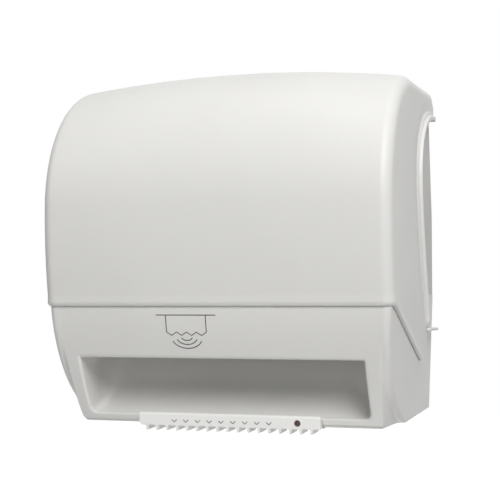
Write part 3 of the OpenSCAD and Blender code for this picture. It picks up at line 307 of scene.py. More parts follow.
# Ground rubber: dark, dusty, with fine rings across the roller
def rubber(name):
    f = Finish(name, Specular_IOR_Level=0.3)
    ring = f.any.node("ShaderNodeTexWave", {"wave_type": "BANDS", "bands_direction": "X"}, Vector=f.place,
                      Scale=260.0, Distortion=0.6, Detail=2.0)
    lint = f.noise(420, 4).rise(0.52, 0.78)
    f.bump(ring * 0.6 + f.noise(900, 2) * 0.4, 0.25, 0.0002)
    tone = f.mix(lint * 0.5, (0.028, 0.028, 0.029), (0.16, 0.155, 0.15))
    return f.feed(Base_Color=tone, Roughness=0.62 + lint * 0.2)


# Dark red lens: moulded in small cells, which give the bump and roughness. The colour is a painted highlight, painted
# brighter at each cell's middle and darker at its edge
def lensRed(name):
    f = Finish(name, Specular_IOR_Level=0.6, Coat_Weight=0.6, Coat_Roughness=0.04)
    cellAndGlint = f.any.node("ShaderNodeTexVoronoi", {"feature": "F1"}, Vector=f.place, Scale=1500.0)
    f.bump(cellAndGlint, 0.15, 0.0001)
    # Painted highlight: the base colour is brighter at each cell's middle, darker towards its edge
    return f.feed(Base_Color=f.mix(cellAndGlint.rise(0.0, 0.8), (0.16, 0.020, 0.018), (0.06, 0.010, 0.010)),
                  Roughness=0.16 + cellAndGlint * 0.12)


# Shrink-wrapped cells: a dark wrap with a copper band near one end of each
def cellWrap(name, length=0.0615, band=0.012):
    f = Finish(name, Specular_IOR_Level=0.5, Coat_Weight=0.4, Coat_Roughness=0.15)
    along = f.any.maths("FRACT", f.axis("X") / length + 4.0)
    copper = along.rise(1 - band / length - 0.02, 1 - band / length + 0.01)
    crease = f.noise(300, 4, 0.6, f.stretched(0.3, 1, 1))
    f.bump(crease, 0.12, 0.0003)
    wrap = f.mix(crease, (0.020, 0.026, 0.040), (0.035, 0.042, 0.060))
    return f.feed(Base_Color=f.mix(copper, wrap, (0.42, 0.20, 0.07)),
                  Roughness=0.24 + crease * 0.18, Metallic=copper * 0.6)


# Circuit board: green mask over lighter traces, with tinned pads
def boardGreen(name):
    f = Finish(name, Specular_IOR_Level=0.5)
    trace = f.any.node("ShaderNodeTexBrick", {"offset": 0.35}, Vector=f.place, Scale=220.0, Mortar_Size=0.10,
                       Color1=(0, 0, 0, 1), Color2=(0.3, 0.3, 0.3, 1), Mortar=(1, 1, 1, 1))
    pad = f.any.node("ShaderNodeTexVoronoi", {"feature": "F1"}, Vector=f.place, Scale=240.0)
    tin = 1 - pad.rise(0.16, 0.22)
    f.bump(trace, 0.2, 0.0001)
    green = f.mix(trace, (0.012, 0.085, 0.034), (0.022, 0.15, 0.06))
    return f.feed(Base_Color=f.mix(tin, green, (0.55, 0.56, 0.55)),
                  Roughness=0.38 + tin * 0.05, Metallic=tin * 0.9)


finishes = {
    "cover_white": plastic("coverWhite", (0.705, 0.700, 0.680), (0.675, 0.670, 0.648), 0.40, 1300, 0.05, 0.4),
    "housing_white": plastic("housingWhite", (0.690, 0.685, 0.665), (0.660, 0.655, 0.634), 0.38, 1300, 0.05),
    "bar_white": plastic("barWhite", (0.820, 0.815, 0.795), (0.790, 0.785, 0.765), 0.34, 1500, 0.04),
    "plate_grey": plastic("plateGrey", (0.56, 0.555, 0.54), (0.51, 0.505, 0.49), 0.50, 900, 0.14),
    "arm_white": plastic("armWhite", (0.69, 0.685, 0.67), (0.65, 0.645, 0.625), 0.40, 1000, 0.10),
    "hub_grey": plastic("hubGrey", (0.17, 0.18, 0.19), (0.14, 0.145, 0.155), 0.42, 1000, 0.12),
    "frame_grey": plastic("frameGrey", (0.085, 0.088, 0.095), (0.070, 0.073, 0.080), 0.46, 800, 0.16),
    "box_black": plastic("boxBlack", (0.022, 0.022, 0.024), (0.034, 0.034, 0.036), 0.48, 800, 0.16),
    "bezel_dark": plastic("bezelDark", (0.180, 0.155, 0.145), (0.210, 0.180, 0.170), 0.42, 1500, 0.08),
    "mark_ink": plastic("markInk", (0.045, 0.038, 0.035), (0.065, 0.056, 0.052), 0.42, 1500, 0.08),
    "acetal": plastic("gearAcetal", (0.66, 0.63, 0.54), (0.60, 0.57, 0.48), 0.36, 1200, 0.06),
    "button_green": plastic("buttonGreen", (0.03, 0.20, 0.055), (0.02, 0.155, 0.04), 0.28, 1400, 0.05, 0.5, 0.2),
    "steel": metal("zincSteel", (0.60, 0.60, 0.60), (0.45, 0.455, 0.47), 0.22, (4, 70, 70)),
    "motor_steel": metal("motorSteel", (0.42, 0.43, 0.44), (0.30, 0.31, 0.32), 0.34, (70, 8, 8)),
    "bronze": metal("sinteredBronze", (0.52, 0.33, 0.14), (0.38, 0.24, 0.10), 0.38, (40, 40, 40), 0.3),
    "lock_brass": metal("turnedBrass", (0.68, 0.51, 0.24), (0.52, 0.38, 0.16), 0.22, (90, 90, 6)),
    "rubber": rubber("groundRubber"),
    "lens_red": lensRed("lensRed"),
    "cell_wrap": cellWrap("cellWrap"),
    "board_green": boardGreen("boardGreen"),
}
slotOf = {part["node"]: part["material_slot"] for part in frame["record"]["subparts"]}
for name, node in frame["nodes"].items():
    for place in node.material_slots:
        place.material = finishes[slotOf[name]]
print("finishes:", len(finishes))


# Front cover: one skin of rows from the top's rear edge down to the seam, and columns from grip to grip

cover = {
    "half": 172.0, "depth": 252.0, "top": 180.0, "crown": 12.0, "crownRear": 6.0, "bulge": 40.0, "brow": 122.0,
    "setback": 10.0, "seam": -56.6, "edge": 11.0, "wall": 2.6, "rear": -8.0,
    # Rows by their distance from the rear edge and from the seam, and the block of cells about the lock's hole
    "rearRows": (0.0, 0.8, 2.0, 4.0, 6.5, 9.0), "lockBlock": (11.0, -39.0), "lockCells": (4, 8), "fineFrom": -40.0,
    "seamRows": (10.0, 8.8, 7.6, 6.5, 5.5, 4.6, 3.8, 3.1, 2.5, 1.9, 1.4, 1.0, 0.6, 0.3, 0.0),
    "steps": {"top": 24, "brow": 66, "front": 36, "seam": 6, "middle": 24, "edge": 12, "side": 26},
    # The side's rear edge
    "gripTop": (-12.0, 142.0), "waist": (-103.0, 75.0), "waistFlat": 3.0, "upperPull": (33.0, 37.0),
    "lowerPull": 37.0, "tail": (-62.0, -72.0), "tailPull": (-16.0, 42.0), "tailCorner": (-58.5, -78.4),
    "tabRoot": (-49.0, -82.0), "apex": (-91.0, -112.0), "apexRound": 7.0,
    # Rows along it: shares of its length, then distances from the tail at two heights below zero
    "rowShares": (0.215, 0.44, 0.62), "tailDrop": (30.0, 40.0), "tailRun": (-4.0, 9.0),
    "holdRun": (6.0, 10.0), "startWay": (0.2, 0.98), "startPoints": 12, "evenOver": 30,
    # The finger lip
    "lip": 3.9, "step": (5.4, 3.8), "lipRound": 1.0, "lipEnd": (1.0, 10.0), "hook": 0.68, "hookRun": 9.0,
    "dip": 1.0, "dipReach": (26.0, 11.0), "dipRun": 70.0, "swell": 1.0, "swellReach": (11.0, 7.0),
    "groove": 0.5, "grooveAt": 5.9, "grooveHalf": 0.45, "calmRun": (8.0, 60.0),
    "foldFoot": 8.0, "narrow": 0.7, "narrowRun": (-45.0, -5.0), "roomShare": 0.75, "leastDraw": 0.2,
    "tailCalm": (-5.0, 44.0), "easeRise": 9.0,
    # The lower edge and the bead along the diagonal
    "flare": 0.8, "flareReach": 12.0, "edgeRound": 2.9, "edgeRise": 4.5, "beadBlend": 3.0,
    "beadAt": (0.0, 0.4, 1.0, 1.8, 2.8, 7.5, 9.5, 14.0, 45.0),
    "beadRise": (-2.4, -1.6, -0.9, -0.35, -0.05, -1.35, -1.5, -1.4, 0.0),
    "slant": 12.0, "slantFrom": (135.0, 172.0), "slantRows": (-60.0, -8.0),
    "lock": (0.0, -28.0), "lockHole": 8.05,
    "pivot": (-86.0, -93.0), "pin": 6.0, "pinLength": 11.0, "pinSink": 0.4, "pinEdge": (1.0, 0.3),
    "tabLow": -82.0, "tabTop": -79.0, "tabReach": 176.0, "tabSink": 2.0, "tabRound": 1.1,
}


# The front goes back with the square of the distance from the bulge
def coverFront(z):
    c = cover
    return -c["depth"] + c["setback"] * ((c["bulge"] - z) / (c["bulge"] - c["seam"])) ** 2


# The top falls towards its sides with the square of x, less so at the rear
def coverTop(x, y, inset):
    c = cover
    crown = np.interp(y, [c["brow"] - c["depth"], c["rear"]], [c["crown"], c["crownRear"]])
    return c["top"] - crown * (x / c["half"]) ** 2 - inset


# Cubic curve from the first of four points to the last, pulled towards the two between
def bezier(p, n):
    t = np.linspace(0, 1, n + 1)[:, None]
    p = np.asarray(p, float)
    return (1 - t) ** 3 * p[0] + 3 * (1 - t) ** 2 * t * p[1] + 3 * (1 - t) * t * t * p[2] + t ** 3 * p[3]


# Round corner at b between a and c, as a parabola
def cornered(a, b, c, r, n):
    a, b, c = (np.asarray(p, float) for p in (a, b, c))
    p, q = b + r * unit(a - b), b + r * unit(c - b)
    t = np.linspace(0, 1, n + 1)[:, None]
    return (1 - t) ** 2 * p + 2 * t * (1 - t) * b + t * t * q


def frontCover():
    c = cover
    skin = Skin()
    half, r, wall, seam, steps = c["half"], c["edge"], c["wall"], c["seam"], c["steps"]
    browFoot = c["brow"] - c["depth"]

    # Rows: y along the flat top, angle round the brow, z down the front
    rearY = c["rear"] - np.array(c["rearRows"])
    blockHalf, blockFront = c["lockBlock"]
    blockColumns, blockRows = c["lockCells"]
    topY = joined(rearY, between(rearY[-1], blockFront, blockRows), between(blockFront, browFoot, steps["top"]))
    browA = np.radians(90 - between(0, 90, steps["brow"]))
    seamZ = seam + np.array(c["seamRows"])
    frontZ = joined(between(c["bulge"], c["fineFrom"], steps["front"]),
                    between(c["fineFrom"], seamZ[0], steps["seam"]), seamZ[1:])
    nTop, nBrow, nFront = len(topY), len(browA), len(frontZ)
    above = nTop + nBrow

    # Columns: the middle, then round the edge
    midX = joined(0, between(0, blockHalf, blockColumns), between(blockHalf, half - r, steps["middle"]))
    turn = np.radians(between(0, 90, steps["edge"]))

    # Section at a column: flat top, quarter ellipse of the brow, parabola of the front
    def front(inward):
        x = joined(midX, half - r + (r - inward) * np.sin(turn))
        inset = joined(np.full(len(midX), inward), r - (r - inward) * np.cos(turn))
        top = coverTop(x, browFoot, inset)
        slant = np.clip((topY - c["slantRows"][0]) / np.ptp(c["slantRows"]), 0, 1)[:, None]
        slant = c["slant"] * slant * eased(x, c["slantFrom"])
        y = np.concatenate([topY[:, None] - slant,
                            browFoot - (c["brow"] - inset) * np.cos(browA)[:, None],
                            coverFront(frontZ)[:, None] + inset])
        z = np.concatenate([coverTop(x, topY[:, None], inset),
                            c["bulge"] + (top - c["bulge"]) * np.sin(browA)[:, None],
                            np.broadcast_to(frontZ[:, None], (nFront, len(x)))])
        return np.stack([np.broadcast_to(x, y.shape), y, z], -1)

    outer, inner = front(0.0), front(wall)

    # Rear edge of the side, from the upper tab round the crescent to half of the apex's round
    seamFront = outer[-1, -1, 1:]
    apex = np.asarray(c["apex"])
    apexRound = cornered(c["tabRoot"], apex, seamFront, c["apexRound"], 16)
    apexMid = len(apexRound) // 2
    waist, tailEnd = np.asarray(c["waist"]), np.asarray(c["tail"])
    below = waist - (0, c["waistFlat"])
    upper = bezier([c["gripTop"], (waist[0] + c["upperPull"][0], c["gripTop"][1]),
                    waist + (0, c["upperPull"][1]), waist], 60)
    lower = bezier([below, below - (0, c["lowerPull"]), tailEnd + c["tailPull"], tailEnd], 70)
    crescent = np.concatenate([upper, lower, [c["tailCorner"]], [c["tabRoot"]], apexRound[:apexMid + 1]])
    diagonal = np.concatenate([[seamFront], apexRound[:apexMid - 1:-1]])
    run = runOf(crescent)
    tail, total = run[len(upper) + len(lower) - 2], run[-1]

    # Each row's place on that edge
    topEnd, browEnd, middle = (share * total for share in c["rowShares"])
    key = joined(np.linspace(0, topEnd, nTop), between(topEnd, browEnd, nBrow),
                 np.interp(-frontZ, joined(-c["bulge"], 0, c["tailDrop"], -seam),
                           joined(browEnd, middle, tail + np.array(c["tailRun"]), total)))
    edge = traced(key, run, crescent)

    # Direction from the edge into the side: the edge's normal, held at both ends and evened out
    fine = np.linspace(0, total, 700)
    way = np.gradient(traced(fine, run, crescent), axis=0)
    into = unit(np.stack([way[:, 1], -way[:, 0]], -1))
    down = unit(seamFront - apex)
    hold = smooth((fine - tail + c["holdRun"][0]) / (total - tail - c["holdRun"][1]))[:, None]
    into = into * (1 - hold) + down * hold
    into[:c["startPoints"]] = c["startWay"]
    even = c["evenOver"]
    pad = np.pad(into, ((even, even), (0, 0)), mode="edge")
    window = np.ones(2 * even + 1) / (2 * even + 1)
    into = unit(np.stack([np.convolve(pad[:, k], window, "valid") for k in (0, 1)], -1))
    into = traced(key, fine, into)

    # Lip: a gentle dip, a swell, a fine groove, then a step up to the rim, which is rounded off at its rear
    reach = joined([26, 23, 20, 17, 14.5, 12.6, 11.2, 10.3, 9.5, 8.8, 8.1, 7.5, 7.0, 6.6, 6.3, 6.0],
                   between(6.0, 3.75, 9), [3.3, 2.7, 2.1, 1.5, 1.0, 0.75, 0.5, 0.3, 0.15, 0.05, 0])
    swell = eased(reach, c["swellReach"])
    dip = swell - eased(reach, c["dipReach"])
    step = eased(reach, c["step"])
    lipRound = c["lipRound"]
    rise = c["lip"] * step - lipRound + np.sqrt(lipRound ** 2 - np.clip(lipRound - reach, 0, None) ** 2)
    groove = np.exp(-((reach - c["grooveAt"]) / c["grooveHalf"]) ** 2)
    fold = c["swell"] * (swell - step) - c["groove"] * groove
    fade = (1 - eased(key - tail, c["lipEnd"])) * (c["hook"] + (1 - c["hook"]) * smooth(key / c["hookRun"]))
    foldFade = eased(key, c["calmRun"])
    dipFade = foldFade * smooth((tail - key) / c["dipRun"])

    # Where the side is narrow, what lies before the swell is drawn together
    wrap = outer[:, -1, 1:]
    room = np.sum((wrap - edge) * into, 1)[:, None]
    near = c["foldFoot"]
    narrow = (1 - c["narrow"] * eased(key - tail, c["narrowRun"]))[:, None]
    drawn = np.clip((c["roomShare"] * room - near) / (reach[0] - near), c["leastDraw"], 1) * narrow
    spread = np.where(reach > near, near + (reach - near) * drawn, reach)
    foot = edge + into * spread[:, :1]

    # Round the tail the foot runs straight on, so that the rows don't cross
    calm = np.flatnonzero((key < tail + c["tailCalm"][0]) | (key > tail + c["tailCalm"][1]))
    foot = traced(np.arange(len(key)), calm, foot[calm])

    # Side: straight lines from the round edge to the lip's foot, then the lip
    share = between(0, 1, steps["side"])[:-1]
    flat = wrap[:, None] + (foot - wrap)[:, None] * share[:, None]
    lip = edge[:, None] + (foot - edge)[:, None] * (spread / spread[:, :1])[..., None]
    side = np.concatenate([flat, lip], 1)

    # The lowest row follows the diagonal with its round end; the rows above ease into it
    length = runOf(diagonal)
    along = np.linalg.norm(side[-1] - side[-1, 0], axis=1) + np.linalg.norm(side[-1, 0] - seamFront)
    along *= length[-1] / along[-1]
    bent = traced(along, length, diagonal)
    ease = smooth(1 - (frontZ - seam) / c["easeRise"])
    side[above:] += ease[:, None, None] * (bent - side[-1])

    # Height over the side's plane: the lip, and along the diagonal a hollow that rises to a bead
    normal = np.array([-down[1], down[0]])
    normal *= np.sign(normal[1])
    q = np.clip((side - apex) @ normal, 0, None)
    q[:above] = c["beadAt"][-1]

    # A ridge of a given height and reach, with its lower edge rounded off
    def ridge(q, height, reach):
        off = np.clip(1 - q / c["edgeRise"], 0, None)
        return height * smooth(1 - q / reach) - c["edgeRound"] * (1 - np.sqrt(1 - off ** 2))

    lipLift = (rise + fold * foldFade[:, None]) * fade[:, None] + c["dip"] * dip * dipFade[:, None]
    lift = np.concatenate([np.zeros_like(flat[..., 0]), lipLift], 1)
    blend = smooth(joined(share, np.ones(len(reach))) * c["beadBlend"])
    lift += np.interp(q, c["beadAt"], c["beadRise"]) * blend + ridge(q, c["flare"], c["flareReach"]) * (1 - blend)
    sideOut = np.concatenate([(half + lift)[..., None], side], -1)
    sideIn = np.concatenate([np.full(lift.shape + (1,), half - wall), side], -1)

    # Flare of the front's lower edge, outwards round the corner
    flare = ridge(outer[above:, :, 2] - seam, c["flare"], c["flareReach"])
    outer[above:, :, 0] += flare * joined(np.zeros(len(midX)), np.sin(turn))
    outer[above:, :, 1] -= flare * joined(np.ones(len(midX)), np.cos(turn))

    # Both sides: the right half, with its mirror image before it
    def whole(front, sides):
        right = np.concatenate([front, sides], 1)
        return np.concatenate([right[:, :0:-1] * (-1, 1, 1), right], 1)

    outer, inner = whole(outer, sideOut), whole(inner, sideIn)
    mid, first = (outer.shape[1] - 1) // 2, len(rearY) - 1
    block = (first, first + blockRows, mid - blockColumns, mid + blockColumns)
    loops = []
    for shape, inset in ((outer, 0.0), (inner, wall)):
        index = skin.add(shape)
        skin.grid(index, cells(index.shape, *block))
        ring = rim(index, *block)
        circle = circled(np.concatenate(skin.points)[ring, :2], c["lock"], c["lockHole"])
        hole = skin.add(np.insert(circle, 2, coverTop(circle[:, 0], circle[:, 1], inset), axis=1))
        skin.strip(ring, hole)
        loops.append((rim(index, 0, len(index) - 1, 0, index.shape[1] - 1), hole))
    skin.strip(loops[0][0], loops[1][0])
    skin.strip(loops[0][1], loops[1][1])

    # Trunnions inside the cheeks, and the lower tabs
    root, end, pin = half - wall + c["pinSink"], half - wall - c["pinLength"], c["pin"]
    edgeLong, edgeShort = c["pinEdge"]
    section = np.array([(root, axisPoint), (root, pin), (end + edgeLong, pin), (end + edgeShort, pin - edgeShort),
                        (end, pin - edgeLong), (end, axisPoint)])
    for s in (-1, 1):
        skin.tube(turned(section * (s, 1), c["pivot"]))
        x = sorted((s * (half - c["tabSink"]), s * c["tabReach"]))
        softBox(skin, [x[0], c["tail"][0], c["tabLow"]], [x[1], c["gripTop"][0], c["tabTop"]], c["tabRound"])
    return skin.build("cover_shell", finishes["cover_white"], "cover")


coverShell = frontCover()
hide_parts("front_cover")


# Lower housing: nose, belly and side panels, with the throat let in

housing = {
    "front": -238.2, "half": 168.2, "rim": -44.1, "wall": 3.0, "taper": 5.0, "belly": (-128.2, -57.0),
    "bellyReach": 110.0, "bellyDrop": 170.0, "rearDrop": 166.5, "bellyEdge": (5.5, 4.5, 3.0), "leastEdge": 0.3,
    "bellyPower": 1.05, "split": 58.0, "cornerShare": 3 / 7,
    "noseHalf": 158.5, "noseNarrow": 3.8, "noseCorner": (10.0, 4.0), "noseY": -191.0, "noseDrop": 171.0,
    "noseCurve": 1.7, "noseRound": 3.0, "crest": 3.0, "seam": cover["seam"],
    # The line of the cover's lower edge, as y and z, and how the wall stands out below it
    "coverEdge": ((-231, cover["apex"][0], cover["tabRoot"][0], 0),
                  (cover["seam"], cover["apex"][1], cover["tabRoot"][1], -50)),
    "proud": 1.0, "flush": 169.2, "proudReach": 60.0, "tuck": 5.0, "flushRear": (-15.0, -75.0),
    # The throat: its mouth, its scoop and the towel slot in its roof
    "throatHalf": 141.5, "throatTop": -106.0, "lip": -162.0, "cornerTop": 1.5, "cornerLow": 7.0, "mouthRound": 2.6,
    "cove": (-198.0, -124.0), "coveRound": 38.0, "coveEnd": 12.0, "cheekRound": 25.0,
    "scoopWall": 2.5, "scoopGap": 1.0, "slot": (-196.5, -187.5), "slotHalf": 106.5, "slotCells": (6, 4),
    "blockHalf": 146.0, "blockTop": -102.0, "blockLow": -166.0, "cheekFrom": 132.0,
    "steps": {"head": 8, "upper": 22, "mouth": 26, "bottom": 14, "back": 10, "slot": 30, "cheek": 6,
              "flank": 21, "edge": 11, "side": 40},
    # Trunnion bores with their collars, screw tabs, and bosses of the roller frame
    "pivot": cover["pivot"], "bore": 6.1, "boreCells": (4, 3), "collar": 11.0, "collarLength": 4.0, "collarSink": 0.6,
    "collarSteps": (((0.8, 0.0), (0.2, -0.3), (0.0, -0.8)), ((0.0, 0.4), (0.2, 0.0))),
    "tab": (16.0, 4.0, 30.0), "tabLow": -90.0, "tabRear": -4.0, "tabSink": 0.5, "tabRound": 0.8,
    "bosses": ((-121.5, -216.2), (-121.5, -162.3), (121.5, -216.2)), "boss": (-104.5, -95.5, 1.6, 4.0),
    "bossSteps": (((-0.8, 0.0), (-0.2, -0.2), (0.0, -0.6)), ((0.0, 0.2), (-0.3, 0.0))),
}


# Half width at the side walls: it narrows evenly from the rim down
def sideHalf(z, wall):
    h = housing
    return h["half"] - wall - h["taper"] * (h["rim"] - z) / (h["rim"] + h["bellyDrop"])


# Half width of the nose: it narrows evenly below the seam, and on a quarter ellipse at the lower corner
def noseHalf(z, wall):
    h = housing
    low = np.clip((h["noseCorner"][0] - h["noseDrop"] - z) / h["noseCorner"][0], 0, 1)
    return (h["noseHalf"] - wall - h["noseNarrow"] * np.clip((h["seam"] - z) / (h["seam"] + h["noseDrop"]), 0, 1)
            - h["noseCorner"][1] * (1 - np.sqrt(1 - low ** 2)))


# The nose's front: its setback grows with a power of the drop
def noseCurve(z, wall):
    h = housing
    f, low = h["front"] + wall, wall - h["noseDrop"]
    drop = np.clip((h["belly"][1] - z) / (h["belly"][1] - low), 0, None)
    return f + (wall + h["noseY"] - f) * drop ** h["noseCurve"]


# How far the wall stands out towards the cover: 1 along the cover's lower edge, less below it, 0 under the cover
def proudShare(y, z):
    h = housing
    below = np.interp(y, *h["coverEdge"]) - z
    return np.where(below > 0, np.clip(1 - below / h["proudReach"], 0, 1) ** 2, smooth(1 + below / h["tuck"]))


# The nose's front again, with the outer wall stood out
def noseFront(z, wall=0.0):
    y = noseCurve(np.asarray(z, float), wall)
    return y - housing["proud"] * proudShare(y, z) * (wall == 0)


# One wall of the housing: rows down the front and back along the bottom, columns from rear edge to rear edge
def housingSkin(wall, t, corner, bottom, fixed):
    h = housing
    low, y0 = wall - h["noseDrop"], wall + h["noseY"]
    end = low + h["noseRound"]
    zNose = h["belly"][1] - (h["belly"][1] - end) * t
    nose = np.concatenate([
        np.stack([noseCurve(zNose, wall), zNose], -1),
        np.stack([y0 + h["noseRound"] * (1 - np.cos(corner)), end - h["noseRound"] * np.sin(corner)], -1),
        np.stack([y0 + h["noseRound"] + bottom * (h["belly"][0] - y0 - h["noseRound"]),
                  low + bottom * (wall - h["bellyDrop"] - low)], -1)])
    early = h["cornerShare"]
    late = joined(early * corner / corner[-1], early + (1 - early) * bottom)
    angle = np.radians(joined(h["split"] * t, h["split"] + (90 - h["split"]) * late))
    steps = h["steps"]
    back = between(0, 1, steps["back"])

    # The belly: a quarter ellipse drawn in a little at its middle, then straight back to the wall
    def path(nosePart, inset):
        inset = wall + inset * np.ones(len(angle))
        cx, cz = h["belly"]
        belly = np.stack([cx - (h["bellyReach"] - inset) * np.cos(angle) ** h["bellyPower"],
                          cz - (h["bellyDrop"] + cz - inset) * np.sin(angle) ** h["bellyPower"]], -1)
        mixed = nosePart * nose + (1 - nosePart) * belly
        rear = mixed[-1] + back[:, None] * (np.array([0, inset[-1] - h["rearDrop"]]) - mixed[-1])
        headZ = np.linspace(h["rim"], cz, steps["head"] + 1)[:-1]
        head = np.stack([np.full(len(headZ), h["front"] + inset[0]), headZ], -1)
        return np.concatenate([head, mixed, rear])

    # Round of the side edge, smaller along the bottom
    edge = np.interp(np.degrees(angle), [0, h["split"], 90], h["bellyEdge"])
    edge = np.clip(edge - wall, h["leastEdge"], None)
    edgeRows = joined(np.full(steps["head"], edge[0]), edge, np.full(len(back), edge[-1]))

    # From the nose to the belly: a round crest, a steep flank and a round foot, as one soft step laid on another
    columns = [np.insert(path(1.0, 0), 0, x, axis=1) for x in fixed]
    for s in np.linspace(0, 1, steps["flank"]):
        p = path(1 - smooth(smooth(s)), 0)
        start = noseHalf(p[:, 1], wall) - h["crest"]
        columns.append(np.insert(p, 0, start + s * (sideHalf(p[:, 1], wall) - edgeRows - start), axis=1))
    nFront = len(columns)
    turn = np.radians(np.linspace(0, 90, steps["edge"]))
    for a in turn:
        p = path(0.0, edge * (1 - np.cos(a)))
        columns.append(np.insert(p, 0, sideHalf(p[:, 1], wall) - edgeRows * (1 - np.sin(a)), axis=1))
    last = columns[-1]
    run = runOf(last[:, 1:])
    rear = np.stack([np.zeros(len(last)), h["rim"] + (last[-1, 2] - h["rim"]) * run / run[-1]], -1)
    for u in between(0, 1, steps["side"]):
        p = last[:, 1:] + u * (rear - last[:, 1:])
        columns.append(np.insert(p, 0, sideHalf(p[:, 1], wall), axis=1))
    right = np.stack(columns, 1)

    # The outer wall stands out below the cover's edge: forwards at the front, sideways at the sides
    if wall == 0:
        side = joined(np.zeros(nFront), np.sin(turn), np.ones(right.shape[1] - nFront - len(turn)))
        out = proudShare(right[..., 1], right[..., 2])
        gap = h["flush"] - sideHalf(np.interp(right[..., 1], *h["coverEdge"]), 0)
        right[..., 0] += side * out * gap * eased(right[..., 1], h["flushRear"])
        right[..., 1] -= np.sqrt(1 - side ** 2) * out * h["proud"]
    return np.concatenate([right[:, :0:-1] * (-1, 1, 1), right], 1)


# Nearest point of a box with round corners, for points outside it
def rounded(p, half, low, high):
    h = housing
    r = np.where(p[:, 1] > (h["throatTop"] + h["lip"]) / 2, h["cornerTop"], h["cornerLow"])
    core = np.stack([np.clip(p[:, 0], r - half, half - r),
                     np.clip(p[:, 1], low + h["cornerLow"], high - h["cornerTop"])], -1)
    return core + r[:, None] * unit(p - core)


# Outer and inner wall joined round their edge, and the throat, bores, tabs and bosses let in or set on
def lowerHousing():
    h = housing
    skin = Skin()
    steps = h["steps"]
    top, end = h["belly"][1], h["noseRound"] - h["noseDrop"]
    z = joined(top, between(top, h["blockTop"], steps["upper"]),
               between(h["blockTop"], h["blockLow"], steps["mouth"]), end + 1, end)
    t = (top - z) / (top - end)
    corner = np.radians(between(0, 90, 8))
    bottom = between(0, 1, steps["bottom"])
    fixed = joined(0, between(0, h["slotHalf"], steps["slot"]),
                   between(h["slotHalf"], h["cheekFrom"], steps["cheek"]),
                   between(h["cheekFrom"], h["blockHalf"], steps["cheek"]))
    shrink = (h["blockHalf"] - h["wall"]) / h["blockHalf"]
    walls = [skin.add(housingSkin(0.0, t, corner, bottom, fixed)),
             skin.add(housingSkin(h["wall"], t, corner, bottom, fixed * shrink))]
    every = np.concatenate(skin.points)
    mid = (walls[0].shape[1] - 1) // 2
    r0, r1 = (steps["head"] + int(np.argmin(abs(z - level))) for level in (h["blockTop"], h["blockLow"]))
    throat = (r0, r1, mid - len(fixed) + 1, mid + len(fixed) - 1)

    # Blocks of the side panels about the trunnion bores
    sideFrom = mid + len(fixed) + steps["flank"]
    far = np.linalg.norm(every[walls[0]][:, sideFrom:, 1:] - h["pivot"], axis=-1)
    row, column = np.unravel_index(np.argmin(far), far.shape)
    column += sideFrom
    tall, wide = h["boreCells"]
    bores = [(row - tall, row + tall, place - wide, place + wide) for place in (column, 2 * mid - column)]
    cut = cells(walls[0].shape, *throat)
    for b in bores:
        cut |= cells(walls[0].shape, *b)
    for index in walls:
        skin.grid(index, cut)
    skin.strip(*(rim(index, 0, index.shape[0] - 1, 0, index.shape[1] - 1) for index in walls))

    x = sideHalf(h["pivot"][1], h["wall"])
    collar = tubeSection(x + h["collarSink"], x - h["collarLength"], h["bore"], h["collar"], *h["collarSteps"])
    for b, s in zip(bores, (1, -1)):
        rings = []
        for index, wall in zip(walls, (0.0, h["wall"])):
            ring = rim(index, *b)
            p = circled(every[ring, 1:], h["pivot"], h["bore"])
            rings.append(skin.add(np.concatenate([s * sideHalf(p[:, 1:], wall), p], 1)))
            skin.strip(ring, rings[-1])
        skin.strip(*rings)
        skin.tube(turned(collar * (s, 1), h["pivot"]), ends=False)

    # Mouth: the block's edge, then rings that turn in round the opening
    outerRing, innerRing = (rim(index, *throat) for index in walls)
    guide = every[outerRing][:, [0, 2]]
    last = outerRing
    for a in np.radians(np.linspace(0, 90, 8)):
        out = h["mouthRound"] * (1 - np.sin(a))
        p = rounded(guide, h["throatHalf"] + out, h["lip"] - out, h["throatTop"] + out)
        y = noseFront(p[:, 1]) + h["mouthRound"] * (1 - np.cos(a))
        ring = skin.add(np.stack([p[:, 0], y, p[:, 1]], -1))
        skin.strip(last, ring)
        last = ring

    # Scoop: each point runs back from the mouth; the floor rises on the cove and the cheeks close on a smaller round
    slotRow, slotRows = h["slotCells"]

    def scoop(first, start, grow):
        rear = h["cove"][0] + h["coveRound"] + grow
        topY = start[np.isclose(guide[:, 1], h["blockTop"])].max()
        bend = rear - h["coveEnd"]
        lineup = joined(between(topY, h["slot"][0], slotRow), between(*h["slot"], slotRows),
                        between(h["slot"][1], bend, 6), bend + h["coveEnd"] * np.sin(np.radians(between(0, 90, 12))))
        share = (lineup - topY) / (rear - topY)
        rings = [first]
        cheekY = h["cove"][0] + h["coveRound"] - h["cheekRound"]
        for f in share:
            y = start + (rear - start) * f
            sink = np.sqrt(np.clip((h["coveRound"] + grow) ** 2 - np.clip(y - h["cove"][0], 0, None) ** 2, 0, None))
            close = np.sqrt(np.clip((h["cheekRound"] + grow) ** 2 - np.clip(y - cheekY, 0, None) ** 2, 0, None))
            half = h["throatHalf"] - h["cheekRound"] + close
            p = rounded(guide, half, h["cove"][1] - sink, h["throatTop"] + grow)
            rings.append(skin.add(np.stack([p[:, 0], y, p[:, 1]], -1)))
        return np.stack(rings)

    inside = scoop(last, noseFront(np.concatenate(skin.points)[last, 2]) + h["mouthRound"], 0.0)
    front = noseFront(np.concatenate(skin.points)[innerRing, 2], h["wall"]) + h["scoopGap"]
    outside = scoop(innerRing, front, h["scoopWall"])
    roof = guide[:throat[3] - throat[2], 0]
    a, b = (int(np.argmin(abs(roof - edge))) for edge in (-h["slotHalf"], h["slotHalf"]))
    for index in (inside, outside):
        closed = looped(index)
        skin.grid(closed, cells(closed.shape, slotRow, slotRow + slotRows, a, b))
        skin.cap(index[-1])
    skin.strip(*(rim(index, slotRow, slotRow + slotRows, a, b) for index in (inside, outside)))

